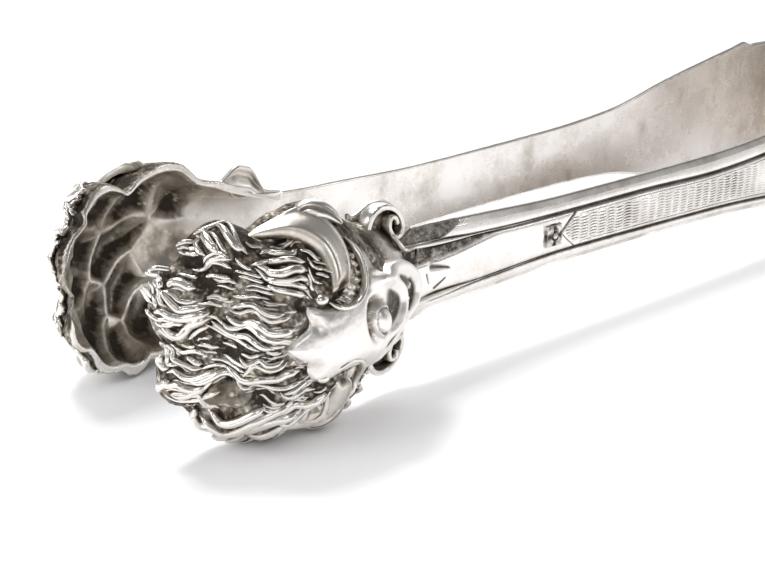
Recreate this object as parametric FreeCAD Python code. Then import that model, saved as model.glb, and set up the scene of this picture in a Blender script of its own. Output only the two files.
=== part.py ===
import FreeCAD, Part
import math, os

# Claw-ended spring tongs for ice or sugar lumps, in cast and rolled silver.
# Millimetres.  X runs along the tongs from the claw tips (-X) to the bow (+X),
# Y is the opening direction, +Z is up with the tongs resting on their edge.
# The origin is at the middle of the footprint, on the resting plane.
# Parts are built with z = 0 at mid height and x as a station measured from near
# the claw tips, then shifted on export.  The rear side (+Y) is mirrored to the front.
Vector = FreeCAD.Vector

# ---------------------------------------------------------------- dimensions
SHEET_T = 1.30          # thickness of the arms and of the bow band
BOW_START_X = 166.0     # station where the stems are soldered to the bow
BOW_CENTRE_X = 172.0    # centre of the half round bow
BOW_HALF_W = 13.0       # half width of the bow band
BOW_OPENING = 16.55     # half opening at the bow, to the middle of the sheet
CLAW_TIP_X = 0.4        # blunt tip of the claw
CLAW_END_X = 36.0       # station where the claw is soldered to the stem
CLAW_BLEND_X = 29.0     # station where the claw starts to take the arm section
CLAW_T = 0.90           # wall of the claw shell
CROWN = 0.70            # outward crown of the arm section
CROWN_FADE = 30.0       # length over which the crown runs out before the bow

MID_X = (CLAW_TIP_X + BOW_CENTRE_X + BOW_OPENING + SHEET_T / 2) / 2
HALF_HEIGHT = 13.7135   # from mid height down to the resting plane

# Profiles along the tongs, as (station, value)
HALF_OPENING = [
    (0, 12.0), (30, 12.2), (60, 13.2), (90, 14.6), (120, 15.8), (150, 16.45),
    (BOW_START_X, BOW_OPENING), (175, BOW_OPENING)]
HALF_WIDTH = [
    (0, 3.0), (1.5, 6.0), (3, 8.2), (5, 10.1), (8, 11.7), (11.5, 12.2), (16, 12.3),
    (20, 12.2), (23, 10.8), (26, 8.9), (30, 7.3), (36, 5.8), (47, 5.36), (64, 4.78),
    (81, 4.86), (98, 5.07), (115, 5.99), (132, 8.91), (149, 11.56), (158, 12.9),
    (163, 13.7), (BOW_START_X, BOW_HALF_W), (175, BOW_HALF_W)]
# distance of the claw's outer skin from the middle plane, at its crown and at its rim
CLAW_CROWN = [
    (0, 9.7), (2, 12.6), (5, 16.6), (10, 20.3), (15.6, 21.8), (22.3, 21.2),
    (30, 17.3), (36, 13.70), (38, 13.5)]
CLAW_RIM = [
    (-2, 8.6), (0, 9.0), (4, 9.8), (11, 11.2), (20, 12.6), (30, 12.4), (36, 11.68)]


# ------------------------------------------------------------------- helpers
def smooth(table, x):
    """Monotone cubic through a table of stations, held constant past its ends."""
    xs, ys = zip(*table)
    if x <= xs[0]:
        return ys[0]
    if x >= xs[-1]:
        return ys[-1]
    last = len(xs) - 1
    steps = [xs[i + 1] - xs[i] for i in range(last)]
    slopes = [(ys[i + 1] - ys[i]) / steps[i] for i in range(last)]
    tangents = [slopes[0]] + [0.0] * (last - 1) + [slopes[-1]]
    for i in range(1, last):
        before, after = slopes[i - 1], slopes[i]
        if before * after > 0:
            # weighted harmonic mean, which never overshoots the table
            w1 = 2 * steps[i] + steps[i - 1]
            w2 = steps[i] + 2 * steps[i - 1]
            tangents[i] = (w1 + w2) / (w1 / before + w2 / after)
    i = next(i for i in range(last) if x <= xs[i + 1])
    step = steps[i]
    t = (x - xs[i]) / step
    return ((1 + 2 * t) * (1 - t) ** 2 * ys[i] + t * (1 - t) ** 2 * step * tangents[i]
            + t * t * (3 - 2 * t) * ys[i + 1] + t * t * (t - 1) * step * tangents[i + 1])


def ease(t):
    """Smooth step from 0 to 1, clamped at both ends."""
    t = min(max(t, 0.0), 1.0)
    return t * t * (3 - 2 * t)


def crown(x):
    """The arm section is crowned outward and runs flat into the bow."""
    return CROWN * ease((BOW_START_X - x) / CROWN_FADE)


def spline(points):
    curve = Part.BSplineCurve()
    curve.interpolate(points)
    return curve.toShape()


def as_solid(shape):
    return shape if shape.ShapeType == "Solid" else Part.Solid(shape.Shells[0])


def loft(wires):
    solid = as_solid(Part.makeLoft(wires, True, False))
    if solid.Volume < 0:
        solid.reverse()
    return solid


def largest(shape):
    """Largest solid of a boolean result."""
    return sorted(shape.Solids, key=lambda solid: solid.Volume)[-1]


def cut_away(shape, neighbours):
    """Fit a shape against its neighbours, so that no two parts overlap."""
    for neighbour in neighbours:
        shape = shape.cut(neighbour)
    return largest(shape)


# ------------------------------------------------------------------- sections
def section_wire(inner, outer):
    """Closed section from an inner and an outer row of points, both running up."""
    return Part.Wire([spline(inner), Part.makeLine(inner[-1], outer[-1]),
                      spline(outer[::-1]), Part.makeLine(outer[0], inner[0])])


def arm_wire(x):
    middle, half_w, rise = smooth(HALF_OPENING, x), smooth(HALF_WIDTH, x), crown(x)

    def row(y):
        return [Vector(x, y + rise * (1 - (k / 4.0) ** 2), half_w * k / 4.0)
                for k in range(-4, 5)]

    return section_wire(row(middle - SHEET_T / 2), row(middle + SHEET_T / 2))


def claw_wire(x, thickness=CLAW_T, grow=0.0):
    """Crescent section of the claw shell, morphing into the arm section."""
    blend = ease((x - CLAW_BLEND_X) / (CLAW_END_X - CLAW_BLEND_X))
    power = 1.0 + blend                          # dome section to flat crown
    wall = thickness + (SHEET_T - CLAW_T) * blend
    rim, middle = smooth(CLAW_RIM, x), smooth(HALF_OPENING, x)
    half_w = smooth(HALF_WIDTH, x) + grow
    top = smooth(CLAW_CROWN, x) + grow

    def row(edge_y, top_y, half_w):
        angles = [math.pi * i / 16.0 for i in range(-8, 9)]
        return [Vector(x, edge_y + (top_y - edge_y) * math.cos(a) ** power,
                       half_w * math.sin(a)) for a in angles]

    inner_edge = rim * (1 - blend) + (middle - SHEET_T / 2) * blend
    outer_edge = rim * (1 - blend) + (middle + SHEET_T / 2) * blend
    return section_wire(row(inner_edge, top - wall, half_w - wall * (1 - blend)),
                        row(outer_edge, top, half_w))


# ------------------------------------------------------------- stem and claw
STEM_STATIONS = [
    CLAW_END_X, 41, 47, 56, 64, 73, 81, 90, 98, 107, 115, 124, 132, 141, 149,
    154, 158, 160.5, 163, 164.5, BOW_START_X]
CLAW_STATIONS = [
    CLAW_TIP_X, 1.5, 3.0, 5.0, 8.0, 11.5, 15.6, 19.0, 22.0, 25.0, 28.0, 31.0,
    33.5, CLAW_END_X]
# notches between the lobes of the rim, as (x, z, radius)
NOTCHES = [
    (0.4, -0.9, 0.8), (4.2, 9.2, 1.0), (11.6, 12.3, 0.9), (2.9, -8.3, 0.9),
    (7.6, -11.7, 0.8), (12.6, -12.4, 0.9), (24.6, 10.0, 0.9), (24.6, -10.0, 0.9)]
NOTCH_INWARD = 2.0      # reach of the notch cutters to either side of the rim
NOTCH_OUTWARD = 2.4


def make_stem():
    return loft([arm_wire(float(x)) for x in STEM_STATIONS])


def make_claw(stem):
    body = loft([claw_wire(x) for x in CLAW_STATIONS])
    for x, z, radius in NOTCHES:
        start = Vector(x, smooth(CLAW_RIM, x) - NOTCH_INWARD, z)
        body = body.cut(Part.makeCylinder(radius, NOTCH_INWARD + NOTCH_OUTWARD,
                                          start, Vector(0, 1, 0)))
    return cut_away(largest(body), [stem])


# ----------------------------------------------------------------- cartouche
CARTOUCHE_H = 1.35      # height of the cartouche above the claw
CARTOUCHE_SINK = 0.45   # extra depth into the claw, cut away again to fit
CARTOUCHE_STATIONS = [7.0, 11.5, 15.6, 19.0, 22.0, 25.0, 28.0, 31.0, 34.0]
# upper half of the lobed outline as (x, z), mirrored for the lower half
CARTOUCHE_OUTLINE = [
    (9.4, 0.0), (10.9, 1.5), (10.4, 3.2), (11.9, 4.6), (14.2, 4.4), (16.4, 5.0),
    (18.6, 6.2), (20.4, 7.6), (22.4, 5.9), (24.3, 6.2), (26.0, 5.2), (28.3, 5.1),
    (29.9, 3.6), (31.6, 2.9), (32.4, 0.0)]
PRISM_Y = 8.0           # the outline prism spans the whole depth of the claw
PRISM_DEPTH = 22
CABOCHON_X = 20.6
CABOCHON_Z = 0.3
CABOCHON_SINK = 0.5     # centre of the cabochon below the cartouche surface
CABOCHON_RADII = (1.35, 1.2, 1.75)


def outline_prism():
    lower = [(x, -z) for x, z in CARTOUCHE_OUTLINE[1:-1]][::-1]
    curve = Part.BSplineCurve()
    curve.interpolate([Vector(x, PRISM_Y, z) for x, z in CARTOUCHE_OUTLINE + lower],
                      PeriodicFlag=True)
    return Part.Face(Part.Wire(curve.toShape())).extrude(Vector(0, PRISM_DEPTH, 0))


def make_cabochon():
    scaling = FreeCAD.Matrix()
    scaling.scale(*CABOCHON_RADII)
    cabochon = Part.makeSphere(1.0).transformGeometry(scaling)
    y = smooth(CLAW_CROWN, CABOCHON_X) + CARTOUCHE_H - CABOCHON_SINK
    cabochon.translate(Vector(CABOCHON_X, y, CABOCHON_Z))
    return cabochon


def make_cartouche(claw, stem):
    """Lobed plate that follows the claw, with an oval cabochon cast on it."""
    layer = loft([claw_wire(x, CARTOUCHE_H + CARTOUCHE_SINK, CARTOUCHE_H)
                  for x in CARTOUCHE_STATIONS])
    plate = largest(layer.common(outline_prism()))
    plate = largest(plate.fuse(make_cabochon()).cut(claw))
    return cut_away(plate, [stem])


# ------------------------------------------------------- scrolls and volutes
SCROLL_R = 0.95         # half thickness of the leaf scroll bands
# centre line of the upper leaf scroll beside the cartouche, as (x, y, z)
SCROLL_PATH = [
    (8.8, 12.6, 10.2), (11.6, 12.9, 11.5), (15.0, 13.8, 12.0), (18.0, 16.2, 11.2),
    (18.4, 18.9, 9.2), (17.4, 20.6, 7.4), (15.9, 21.7, 5.9)]
VOLUTE_CENTRE = (30.6, 13.6, 8.3)
VOLUTE_COIL_R = 1.25    # coil radius of the volutes
VOLUTE_BAND_R = 0.75    # half thickness of the volute coil
VOLUTE_EYE_R = 0.95     # ball in the middle of the coil
ROOT_R = (0.85, 0.55)   # root cone radii, at the volute and at its far end
ROOT_L = 4.2


def make_scroll(side, neighbours):
    """Leaf scroll, side +1 for the upper one and -1 for the lower one."""
    points = [Vector(x, y, side * z) for x, y, z in SCROLL_PATH]
    path = Part.Wire(spline(points))
    profile = Part.Wire(Part.makeCircle(SCROLL_R, points[0], points[1] - points[0]))
    return cut_away(as_solid(path.makePipeShell([profile], True, True)), neighbours)


def make_volute(side, neighbours):
    """Coil with a ball in it and a root running down to the neck."""
    x, y, z = VOLUTE_CENTRE
    centre = Vector(x, y, side * z)
    volute = Part.makeTorus(VOLUTE_COIL_R, VOLUTE_BAND_R, centre, Vector(0, 1, 0))
    volute = volute.fuse(Part.makeSphere(VOLUTE_EYE_R, centre))
    root = Part.makeCone(*ROOT_R, ROOT_L, centre + Vector(0.6, -0.6, -side * 1.6),
                         Vector(1, -0.12, -side * 0.20))
    return cut_away(volute.fuse(root), neighbours)


# ------------------------------------------------------------------- rosette
ROSETTE_X = 61.2
ROSETTE_SIDE = 3.5
ROSETTE_H = 0.60        # height of the square above the arm
ROSETTE_SINK = 1.4      # depth of the square into the arm, cut away again to fit
ROSETTE_FILLET = 0.25
ROSETTE_DOME_R = 1.5
ROSETTE_DOME_SINK = 0.55


def make_rosette(stem):
    """Square block with rounded top edges and a dome in the middle."""
    half = ROSETTE_SIDE / 2
    y = smooth(HALF_OPENING, ROSETTE_X) + SHEET_T / 2 + crown(ROSETTE_X)
    block = Part.makeBox(ROSETTE_SIDE, ROSETTE_SINK + ROSETTE_H, ROSETTE_SIDE,
                         Vector(ROSETTE_X - half, y - ROSETTE_SINK, -half))
    top_edges = [edge for edge in block.Edges
                 if abs(edge.CenterOfMass.y - (y + ROSETTE_H)) < 1e-6]
    block = block.makeFillet(ROSETTE_FILLET, top_edges)
    dome = Part.makeSphere(ROSETTE_DOME_R, Vector(ROSETTE_X, y - ROSETTE_DOME_SINK, 0))
    return cut_away(block.fuse(dome), [stem])


# ----------------------------------------------------------------------- bow
def make_bow():
    """Half round spring bow with two short straight legs."""
    outer, inner = BOW_OPENING + SHEET_T / 2, BOW_OPENING - SHEET_T / 2

    def leg_end(y):
        return Vector(BOW_START_X, y, 0)

    def u_edges(y):
        """Leg, half circle and leg, from side y round to side -y."""
        start, end = Vector(BOW_CENTRE_X, y, 0), Vector(BOW_CENTRE_X, -y, 0)
        apex = Vector(BOW_CENTRE_X + abs(y), 0, 0)
        return [Part.makeLine(leg_end(y), start),
                Part.Arc(start, apex, end).toShape(),
                Part.makeLine(end, leg_end(-y))]

    edges = (u_edges(outer) + [Part.makeLine(leg_end(-outer), leg_end(-inner))]
             + u_edges(-inner) + [Part.makeLine(leg_end(inner), leg_end(outer))])
    bow = Part.Face(Part.Wire(edges)).extrude(Vector(0, 0, 2 * BOW_HALF_W))
    bow.translate(Vector(0, 0, -BOW_HALF_W))
    return bow


# ------------------------------------------------------------------ assembly
def make_rear_side():
    stem = make_stem()
    claw = make_claw(stem)
    cartouche = make_cartouche(claw, stem)
    side_parts = {"stem": stem, "claw": claw, "cartouche": cartouche,
                  "rosette": make_rosette(stem)}
    for level, side in (("upper", 1), ("lower", -1)):
        scroll = make_scroll(side, [claw, cartouche])
        side_parts[level + "_scroll"] = scroll
        side_parts[level + "_volute"] = make_volute(side, [claw, stem, cartouche, scroll])
    return side_parts


parts = {"spring_bow": make_bow()}
for name, shape in make_rear_side().items():
    parts["rear_" + name] = shape
    parts["front_" + name] = shape.mirror(Vector(0, 0, 0), Vector(0, 1, 0))

os.makedirs("parts", exist_ok=True)
for name, shape in parts.items():
    placed = shape.copy()
    placed.translate(Vector(-MID_X, 0, HALF_HEIGHT))
    placed.exportStep("parts/" + name + ".step")
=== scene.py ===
"""Silver tongs with claw tips, lying on edge on a pale floor.

The claw tips point to -X and the bow closes the tongs at +X.  The front arm lies on the
-Y side of the mid plane, the rear arm on the +Y side.
"""
import math

import bpy
import numpy as np
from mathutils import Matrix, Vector


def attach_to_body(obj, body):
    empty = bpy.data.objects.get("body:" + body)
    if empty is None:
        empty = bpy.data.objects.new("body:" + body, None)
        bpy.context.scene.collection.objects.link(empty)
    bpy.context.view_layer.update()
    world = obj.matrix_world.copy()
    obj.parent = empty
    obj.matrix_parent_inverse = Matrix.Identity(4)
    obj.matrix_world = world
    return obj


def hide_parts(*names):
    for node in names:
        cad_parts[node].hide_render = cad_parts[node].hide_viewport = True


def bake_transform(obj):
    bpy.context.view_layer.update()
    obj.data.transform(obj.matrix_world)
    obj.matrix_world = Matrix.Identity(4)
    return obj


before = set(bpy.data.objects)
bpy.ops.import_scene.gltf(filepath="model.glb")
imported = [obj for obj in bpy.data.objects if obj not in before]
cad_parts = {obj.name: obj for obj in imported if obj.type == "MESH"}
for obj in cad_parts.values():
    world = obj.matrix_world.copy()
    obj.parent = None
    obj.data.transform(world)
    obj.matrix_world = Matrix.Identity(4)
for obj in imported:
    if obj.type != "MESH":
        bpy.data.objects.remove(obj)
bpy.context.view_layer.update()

# Pieces are modelled in millimetres: x runs from the claw tips towards the bow, y is the
# distance from the mid plane and z the height above mid height.
CENTRE_X, CENTRE_Z = 94.80, 13.7135   # x of the frame's origin, mid height above the floor
SHEET = 1.30                          # thickness of the stems and the bow
CLAW_END = 36.0                       # x where the claw meets the stem
BOW_START, BOW_CURVE = 166.0, 172.0   # x where the bow begins, and where it starts to bend
BOW_HALF_WIDTH = 13.0
SIDES = {"front": -1, "rear": 1}


def to_frame(places, side):
    """Model coordinates of one arm in the frame, in metres."""
    x, y, z = np.moveaxis(np.asarray(places, float), -1, 0)
    return np.stack([x - CENTRE_X, side * y, z + CENTRE_Z], -1) / 1000


# ------------------------------------------------------------------ curves and tables
def points(text):
    """Points written as 'a,b' pairs; in outlines and paths they are x,z."""
    return np.array([pair.split(",") for pair in text.split()], float)


def table(text, lead):
    """Rows that hold some leading numbers and then a path."""
    rows = [line.split(maxsplit=lead) for line in text.strip().splitlines()]
    return [(*map(float, row[:lead]), points(row[lead])) for row in rows]


def hermite(share, step, start, start_slope, end, end_slope):
    return ((1 + 2 * share) * (1 - share) ** 2 * start
            + share * (1 - share) ** 2 * step * start_slope
            + share * share * (3 - 2 * share) * end
            + share * share * (share - 1) * step * end_slope)


class Profile:
    """Monotone cubic through 'x,value' stations."""
    def __init__(self, text):
        self.x, self.value = points(text).T
        self.step = step = np.diff(self.x)
        rate = np.diff(self.value) / step
        self.slope = np.zeros(len(self.x))
        self.slope[0], self.slope[-1] = rate[0], rate[-1]
        for i in range(1, len(step)):
            if rate[i - 1] * rate[i] > 0:
                before = 2 * step[i] + step[i - 1]
                after = step[i] + 2 * step[i - 1]
                self.slope[i] = (before + after) / (before / rate[i - 1] + after / rate[i])

    def __call__(self, x):
        x = np.clip(np.asarray(x, float), self.x[0], self.x[-1])
        i = np.clip(np.searchsorted(self.x, x, side="right") - 1, 0, len(self.step) - 1)
        return hermite((x - self.x[i]) / self.step[i], self.step[i], self.value[i],
                       self.slope[i], self.value[i + 1], self.slope[i + 1])


def resample(path, count):
    """Evenly spaced samples of a smooth curve through the points of a path."""
    path = np.asarray(path, float)
    chords = np.maximum(np.linalg.norm(np.diff(path, axis=0), axis=1), 1e-6)
    length = np.concatenate([[0], np.cumsum(chords)])
    at = np.linspace(0, length[-1], count)
    slope = np.zeros_like(path)
    slope[1:-1] = (path[2:] - path[:-2]) / (length[2:] - length[:-2])[:, None]
    slope[0] = (path[1] - path[0]) / (length[1] - length[0])
    slope[-1] = (path[-1] - path[-2]) / (length[-1] - length[-2])
    i = np.clip(np.searchsorted(length, at, side="right") - 1, 0, len(length) - 2)
    step = length[i + 1] - length[i]
    return hermite(((at - length[i]) / step)[:, None], step[:, None],
                   path[i], slope[i], path[i + 1], slope[i + 1])


def clamp(value):
    return np.clip(value, 0, 1)


def rise(value, start, end):
    """Smooth step from 0 at start to 1 at end; end may be the smaller of the two."""
    share = clamp((value - start) / (end - start))
    return share * share * (3 - 2 * share)


def bell(value, power=2):
    return np.exp(-value ** power)


def signed_power(value, power):
    return np.sign(value) * np.abs(value) ** power


def unit(vectors):
    return vectors / np.maximum(np.linalg.norm(vectors, axis=-1, keepdims=True), 1e-9)


def turn(count):
    """Angles once round a ring."""
    return np.linspace(0, 2 * math.pi, count, endpoint=False)


def flat(x, z):
    return np.stack([x, 0 * z, z], -1)


def to_curve(x, z, path, count=160):
    """Distance to a curve, and where along it (0..1) the nearest point lies."""
    nearest = np.full(x.shape, 1e9)
    along = np.zeros(x.shape)
    for i, (curve_x, curve_z) in enumerate(resample(path, count)):
        gap = (x - curve_x) ** 2 + (z - curve_z) ** 2
        closer = gap < nearest
        nearest = np.where(closer, gap, nearest)
        along = np.where(closer, i / (count - 1.0), along)
    return np.sqrt(nearest), along


def to_segment(x, z, start_x, start_z, end_x, end_z):
    """Distance to a straight segment, and where along it (0..1) the nearest point lies."""
    run_x, run_z = end_x - start_x, end_z - start_z
    off_x, off_z = x - start_x, z - start_z
    along = clamp((off_x * run_x + off_z * run_z) / (run_x ** 2 + run_z ** 2))
    return np.hypot(off_x - along * run_x, off_z - along * run_z), along


def lattice(i, j, k):
    """Repeatable value in 0..1 for every cell corner."""
    mix = (i * 374761393 + j * 668265263 + k * 2147483647 * 3 + 1274126177) & 0xFFFFFFFF
    mix = ((mix ^ (mix >> 13)) * 1274126177) & 0xFFFFFFFF
    return ((mix ^ (mix >> 16)) & 0xFFFF) / 65535.0


def noise(places, frequency):
    """Value noise in -1..1, with the frequency per millimetre."""
    scaled = np.asarray(places, float) * frequency + 1000.0
    cell = np.floor(scaled).astype(np.int64)
    part = scaled - cell
    part = part * part * (3 - 2 * part)
    total = 0.0
    for i in (0, 1):
        for j in (0, 1):
            for k in (0, 1):
                weight = ((part[..., 0] if i else 1 - part[..., 0])
                          * (part[..., 1] if j else 1 - part[..., 1])
                          * (part[..., 2] if k else 1 - part[..., 2]))
                total = total + weight * lattice(cell[..., 0] + i, cell[..., 1] + j,
                                                 cell[..., 2] + k)
    return total * 2 - 1


# ------------------------------------------------------------------ driving profiles
# Distance of the middle of the stem sheet from the mid plane.
SHEET_Y = Profile("0,12 30,12.2 60,13.2 90,14.6 120,15.8 150,16.45 166,16.55 175,16.55")
# Half of the height in z, claw and stem.
HALF_WIDTH = Profile("""
    0,3 1.5,6 3,8.2 5,10.1 8,11.7 11.5,12.2 16,12.3 20,12.2 23,10.8 26,8.9 30,7.3 36,5.8
    47,5.36 64,4.78 81,4.86 98,5.07 115,5.99 132,8.91 149,11.56 158,12.9 163,13.7 166,13 175,13
    """)
# Claw: its outermost line, and its rims.
CROWN_Y = Profile("0,9.7 2,12.6 5,16.6 10,20.3 15.6,21.8 22.3,21.2 30,17.3 36,13.7 38,13.5")
RIM_Y = Profile("-2,8.6 0,9 4,9.8 11,11.2 20,12.6 30,12.4 36,11.68")
# Distance of the long grooves of the stem from its upper and lower edge.
UPPER_GROOVE = Profile("36,2.45 50,2.35 64,2.1 80,2.1 100,2.6 130,2.7 150,2.4 166,1.8")
LOWER_GROOVE = Profile("36,2.1 50,2.1 64,2.05 80,1.9 100,1.7 130,1.9 150,1.9 166,1.8")
# Height in z of the thread on the neck.
THREAD_Z = Profile("30.5,5.3 31.5,4.75 33,4.15 34.3,3.8 37,3.5 40,3.35 43,3.25 47,3.15")
# Edge of the ear behind the front volutes.
FRONT_EAR_Z = Profile("""
    24.4,8.7 25.2,9 26.2,9.4 27.4,9.9 28.4,10.2 29.4,10.25 30.5,10.1 31.7,9.7 32.7,9
    33.5,8.1 34,7.2 34.6,6.35 36.2,5.8""")


def camber(x):
    """Rise of the middle of the stem over its edges."""
    return 0.70 * rise(np.asarray(x, float), BOW_START, BOW_START - 30.0)


# ------------------------------------------------------------------ meshes
FLOOR_GAP = 0.0003   # metres; lower points are eased to stay above the floor


class Mesh:
    """Gathers closed bodies, each made of rings of points in model coordinates."""
    def __init__(self):
        self.places, self.tarnish, self.quads, self.triangles = [], [], [], []
        self.count = 0

    def add(self, places, tarnish, quads, triangles):
        """Add one body and turn it over if its faces look inwards."""
        offset = places - places.mean(0)
        halves = np.concatenate([quads[:, :3], quads[:, [0, 2, 3]], triangles])
        first, second, third = offset[halves.T]
        step = -1 if (np.cross(second, third) * first).sum() < 0 else 1
        self.places.append(places)
        self.tarnish.append(tarnish)
        self.quads.append(quads[:, ::step] + self.count)
        self.triangles.append(triangles[:, ::step] + self.count)
        self.count += len(places)

    @staticmethod
    def wall(rings):
        index = np.arange(rings.shape[0] * rings.shape[1]).reshape(rings.shape[:2])
        after = np.roll(index, -1, 1)
        quads = np.stack([index[:-1], after[:-1], after[1:], index[1:]], -1)
        return index, after, quads.reshape(-1, 4)

    def slab(self, rings, tarnish):
        """Rings whose first half is one skin and second half, run backwards, the other."""
        index, _, quads = self.wall(rings)
        half = rings.shape[1] // 2
        caps = []
        for row, step in ((index[0], 1), (index[-1], -1)):
            one, other = row[:half], row[::-1][:half]
            cap = np.stack([one[:-1], other[:-1], other[1:], one[1:]], -1)
            caps.append(cap[:, ::step])
        self.add(rings.reshape(-1, 3), tarnish.reshape(-1),
                 np.concatenate([quads, *caps]), np.zeros((0, 3), int))

    def plate(self, top, bottom, tarnish):
        """Slab between two skins, with a fully tarnished underside."""
        tarnish = np.concatenate([tarnish, np.ones_like(tarnish)], 1)
        self.slab(np.concatenate([top, bottom[:, ::-1]], 1), clamp(tarnish))

    def tube(self, rings, tarnish, ends=None):
        """Rings closed by a fan at each end; ends is the tarnish of the two fan centres."""
        index, after, quads = self.wall(rings)
        tarnish = np.broadcast_to(tarnish, rings.shape[:2]).reshape(-1)
        if ends is None:
            ends = (tarnish[0], tarnish[0])
        fans = []
        for row, follow, centre in ((after[0], index[0], index.size),
                                    (index[-1], after[-1], index.size + 1)):
            fans.append(np.stack([row, follow, np.full(len(row), centre)], -1))
        places = np.concatenate([rings.reshape(-1, 3), rings[0].mean(0)[None],
                                 rings[-1].mean(0)[None]])
        self.add(places, np.concatenate([tarnish, ends]), quads, np.concatenate(fans))

    def build(self, name, side, material):
        places = to_frame(np.concatenate(self.places), side)
        height = places[:, 2]
        eased = FLOOR_GAP * np.exp(np.minimum(height - FLOOR_GAP, 0) / FLOOR_GAP)
        places[:, 2] = np.where(height < FLOOR_GAP, eased, height)
        # the front arm is a mirror image, so its faces are reversed
        quads = np.concatenate(self.quads)[:, ::side]
        triangles = np.concatenate(self.triangles)[:, ::side]
        starts = np.concatenate([np.arange(len(quads)) * 4,
                                 len(quads) * 4 + np.arange(len(triangles)) * 3])
        corners = np.concatenate([quads.ravel(), triangles.ravel()])
        mesh = bpy.data.meshes.new(name)
        mesh.vertices.add(len(places))
        mesh.vertices.foreach_set("co", places.astype(np.float32).ravel())
        mesh.loops.add(len(corners))
        mesh.polygons.add(len(starts))
        mesh.loops.foreach_set("vertex_index", corners.astype(np.int32))
        mesh.polygons.foreach_set("loop_start", starts.astype(np.int32))
        mesh.update(calc_edges=True)
        mesh.validate(verbose=False)
        # darkness painted per point: tarnish, and on the inside of the claws also painted shade
        layer = mesh.attributes.new("tarnish", "FLOAT", "POINT")
        layer.data.foreach_set("value", np.concatenate(self.tarnish).astype(np.float32))
        mesh.polygons.foreach_set("use_smooth", np.ones(len(mesh.polygons), bool))
        mesh.update()
        item = bpy.data.objects.new(name, mesh)
        bpy.context.scene.collection.objects.link(item)
        mesh.materials.append(material)
        return item


def attach(mesh, arm, piece, form, material):
    """Build a piece that rides on its arm and stands for the CAD piece of the same name."""
    item = mesh.build(f"{arm}_{piece}_{form}", SIDES[arm], material)
    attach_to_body(item, f"{arm}_arm")
    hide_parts(f"{arm}_{piece}")


def sweep(path, normal, across, lift):
    """Rings along a path, from their sideways and outward offsets."""
    tangent = unit(np.gradient(path, axis=0))
    normal = unit(normal - tangent * (normal * tangent).sum(1, keepdims=True))
    sideways = np.cross(tangent, normal)
    return (path[:, None] + sideways[:, None] * across[..., None]
            + normal[:, None] * lift[..., None])


def ribbon(mesh, path, normal, half_width, half_height, around, groove=0.0, keel=0.0):
    """Band of rounded section; the groove runs along its outer side at keel (-1..1)."""
    angle = turn(around)
    cos, sin = np.cos(angle), np.sin(angle)
    cut = 1 - groove * bell((cos - keel) / 0.22) * (sin > 0)
    rings = sweep(path, normal, half_width[:, None] * signed_power(cos, 0.85),
                  half_height[:, None] * (signed_power(sin, 0.85) * cut))
    mesh.tube(rings, 0.75 * (cut < 0.75) + 0.5 * (sin < -0.3))


def sheet_ring(outer, inner, half_width, near):
    """Rings round a sheet, with three columns along either edge; near places the first."""
    edges = []
    for sign, start, end in ((1, outer[:, -1], inner[:, 0]), (-1, inner[:, -1], outer[:, 0])):
        columns = []
        for share, cut in ((near, 0.03), (0.5, 0.0), (1 - near, 0.03)):
            column = start * (1 - share) + end * share
            column[:, 2] = sign * (half_width - cut)
            columns.append(column)
        edges.append(np.stack(columns, 1))
    return np.concatenate([outer, edges[0], inner, edges[1]], 1)


# ------------------------------------------------------------------ materials
class Nodes:
    """Node tree of a material or world, emptied first."""
    def __init__(self, owner):
        owner.use_nodes = True
        self.tree = owner.node_tree
        self.tree.nodes.clear()

    def new(self, kind, inputs=None, **settings):
        """New node; inputs maps a socket to a value or to the output linked to it."""
        node = self.tree.nodes.new(kind)
        for key, value in settings.items():
            setattr(node, key, value)
        for key, value in (inputs or {}).items():
            if isinstance(value, bpy.types.NodeSocket):
                self.tree.links.new(value, node.inputs[key])
            else:
                node.inputs[key].default_value = value
        return node

    def math(self, operation, first, second, clamped=False):
        return self.new("ShaderNodeMath", {0: first, 1: second}, operation=operation,
                        use_clamp=clamped).outputs[0]

    def remap(self, value, span, to, interpolation="LINEAR"):
        inputs = {0: value, 1: span[0], 2: span[1], 3: to[0], 4: to[1]}
        return self.new("ShaderNodeMapRange", inputs,
                        interpolation_type=interpolation).outputs[0]

    def mix_colour(self, factor, first, second):
        inputs = {0: factor, 6: first, 7: second}
        return self.new("ShaderNodeMix", inputs, data_type="RGBA").outputs[2]


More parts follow.
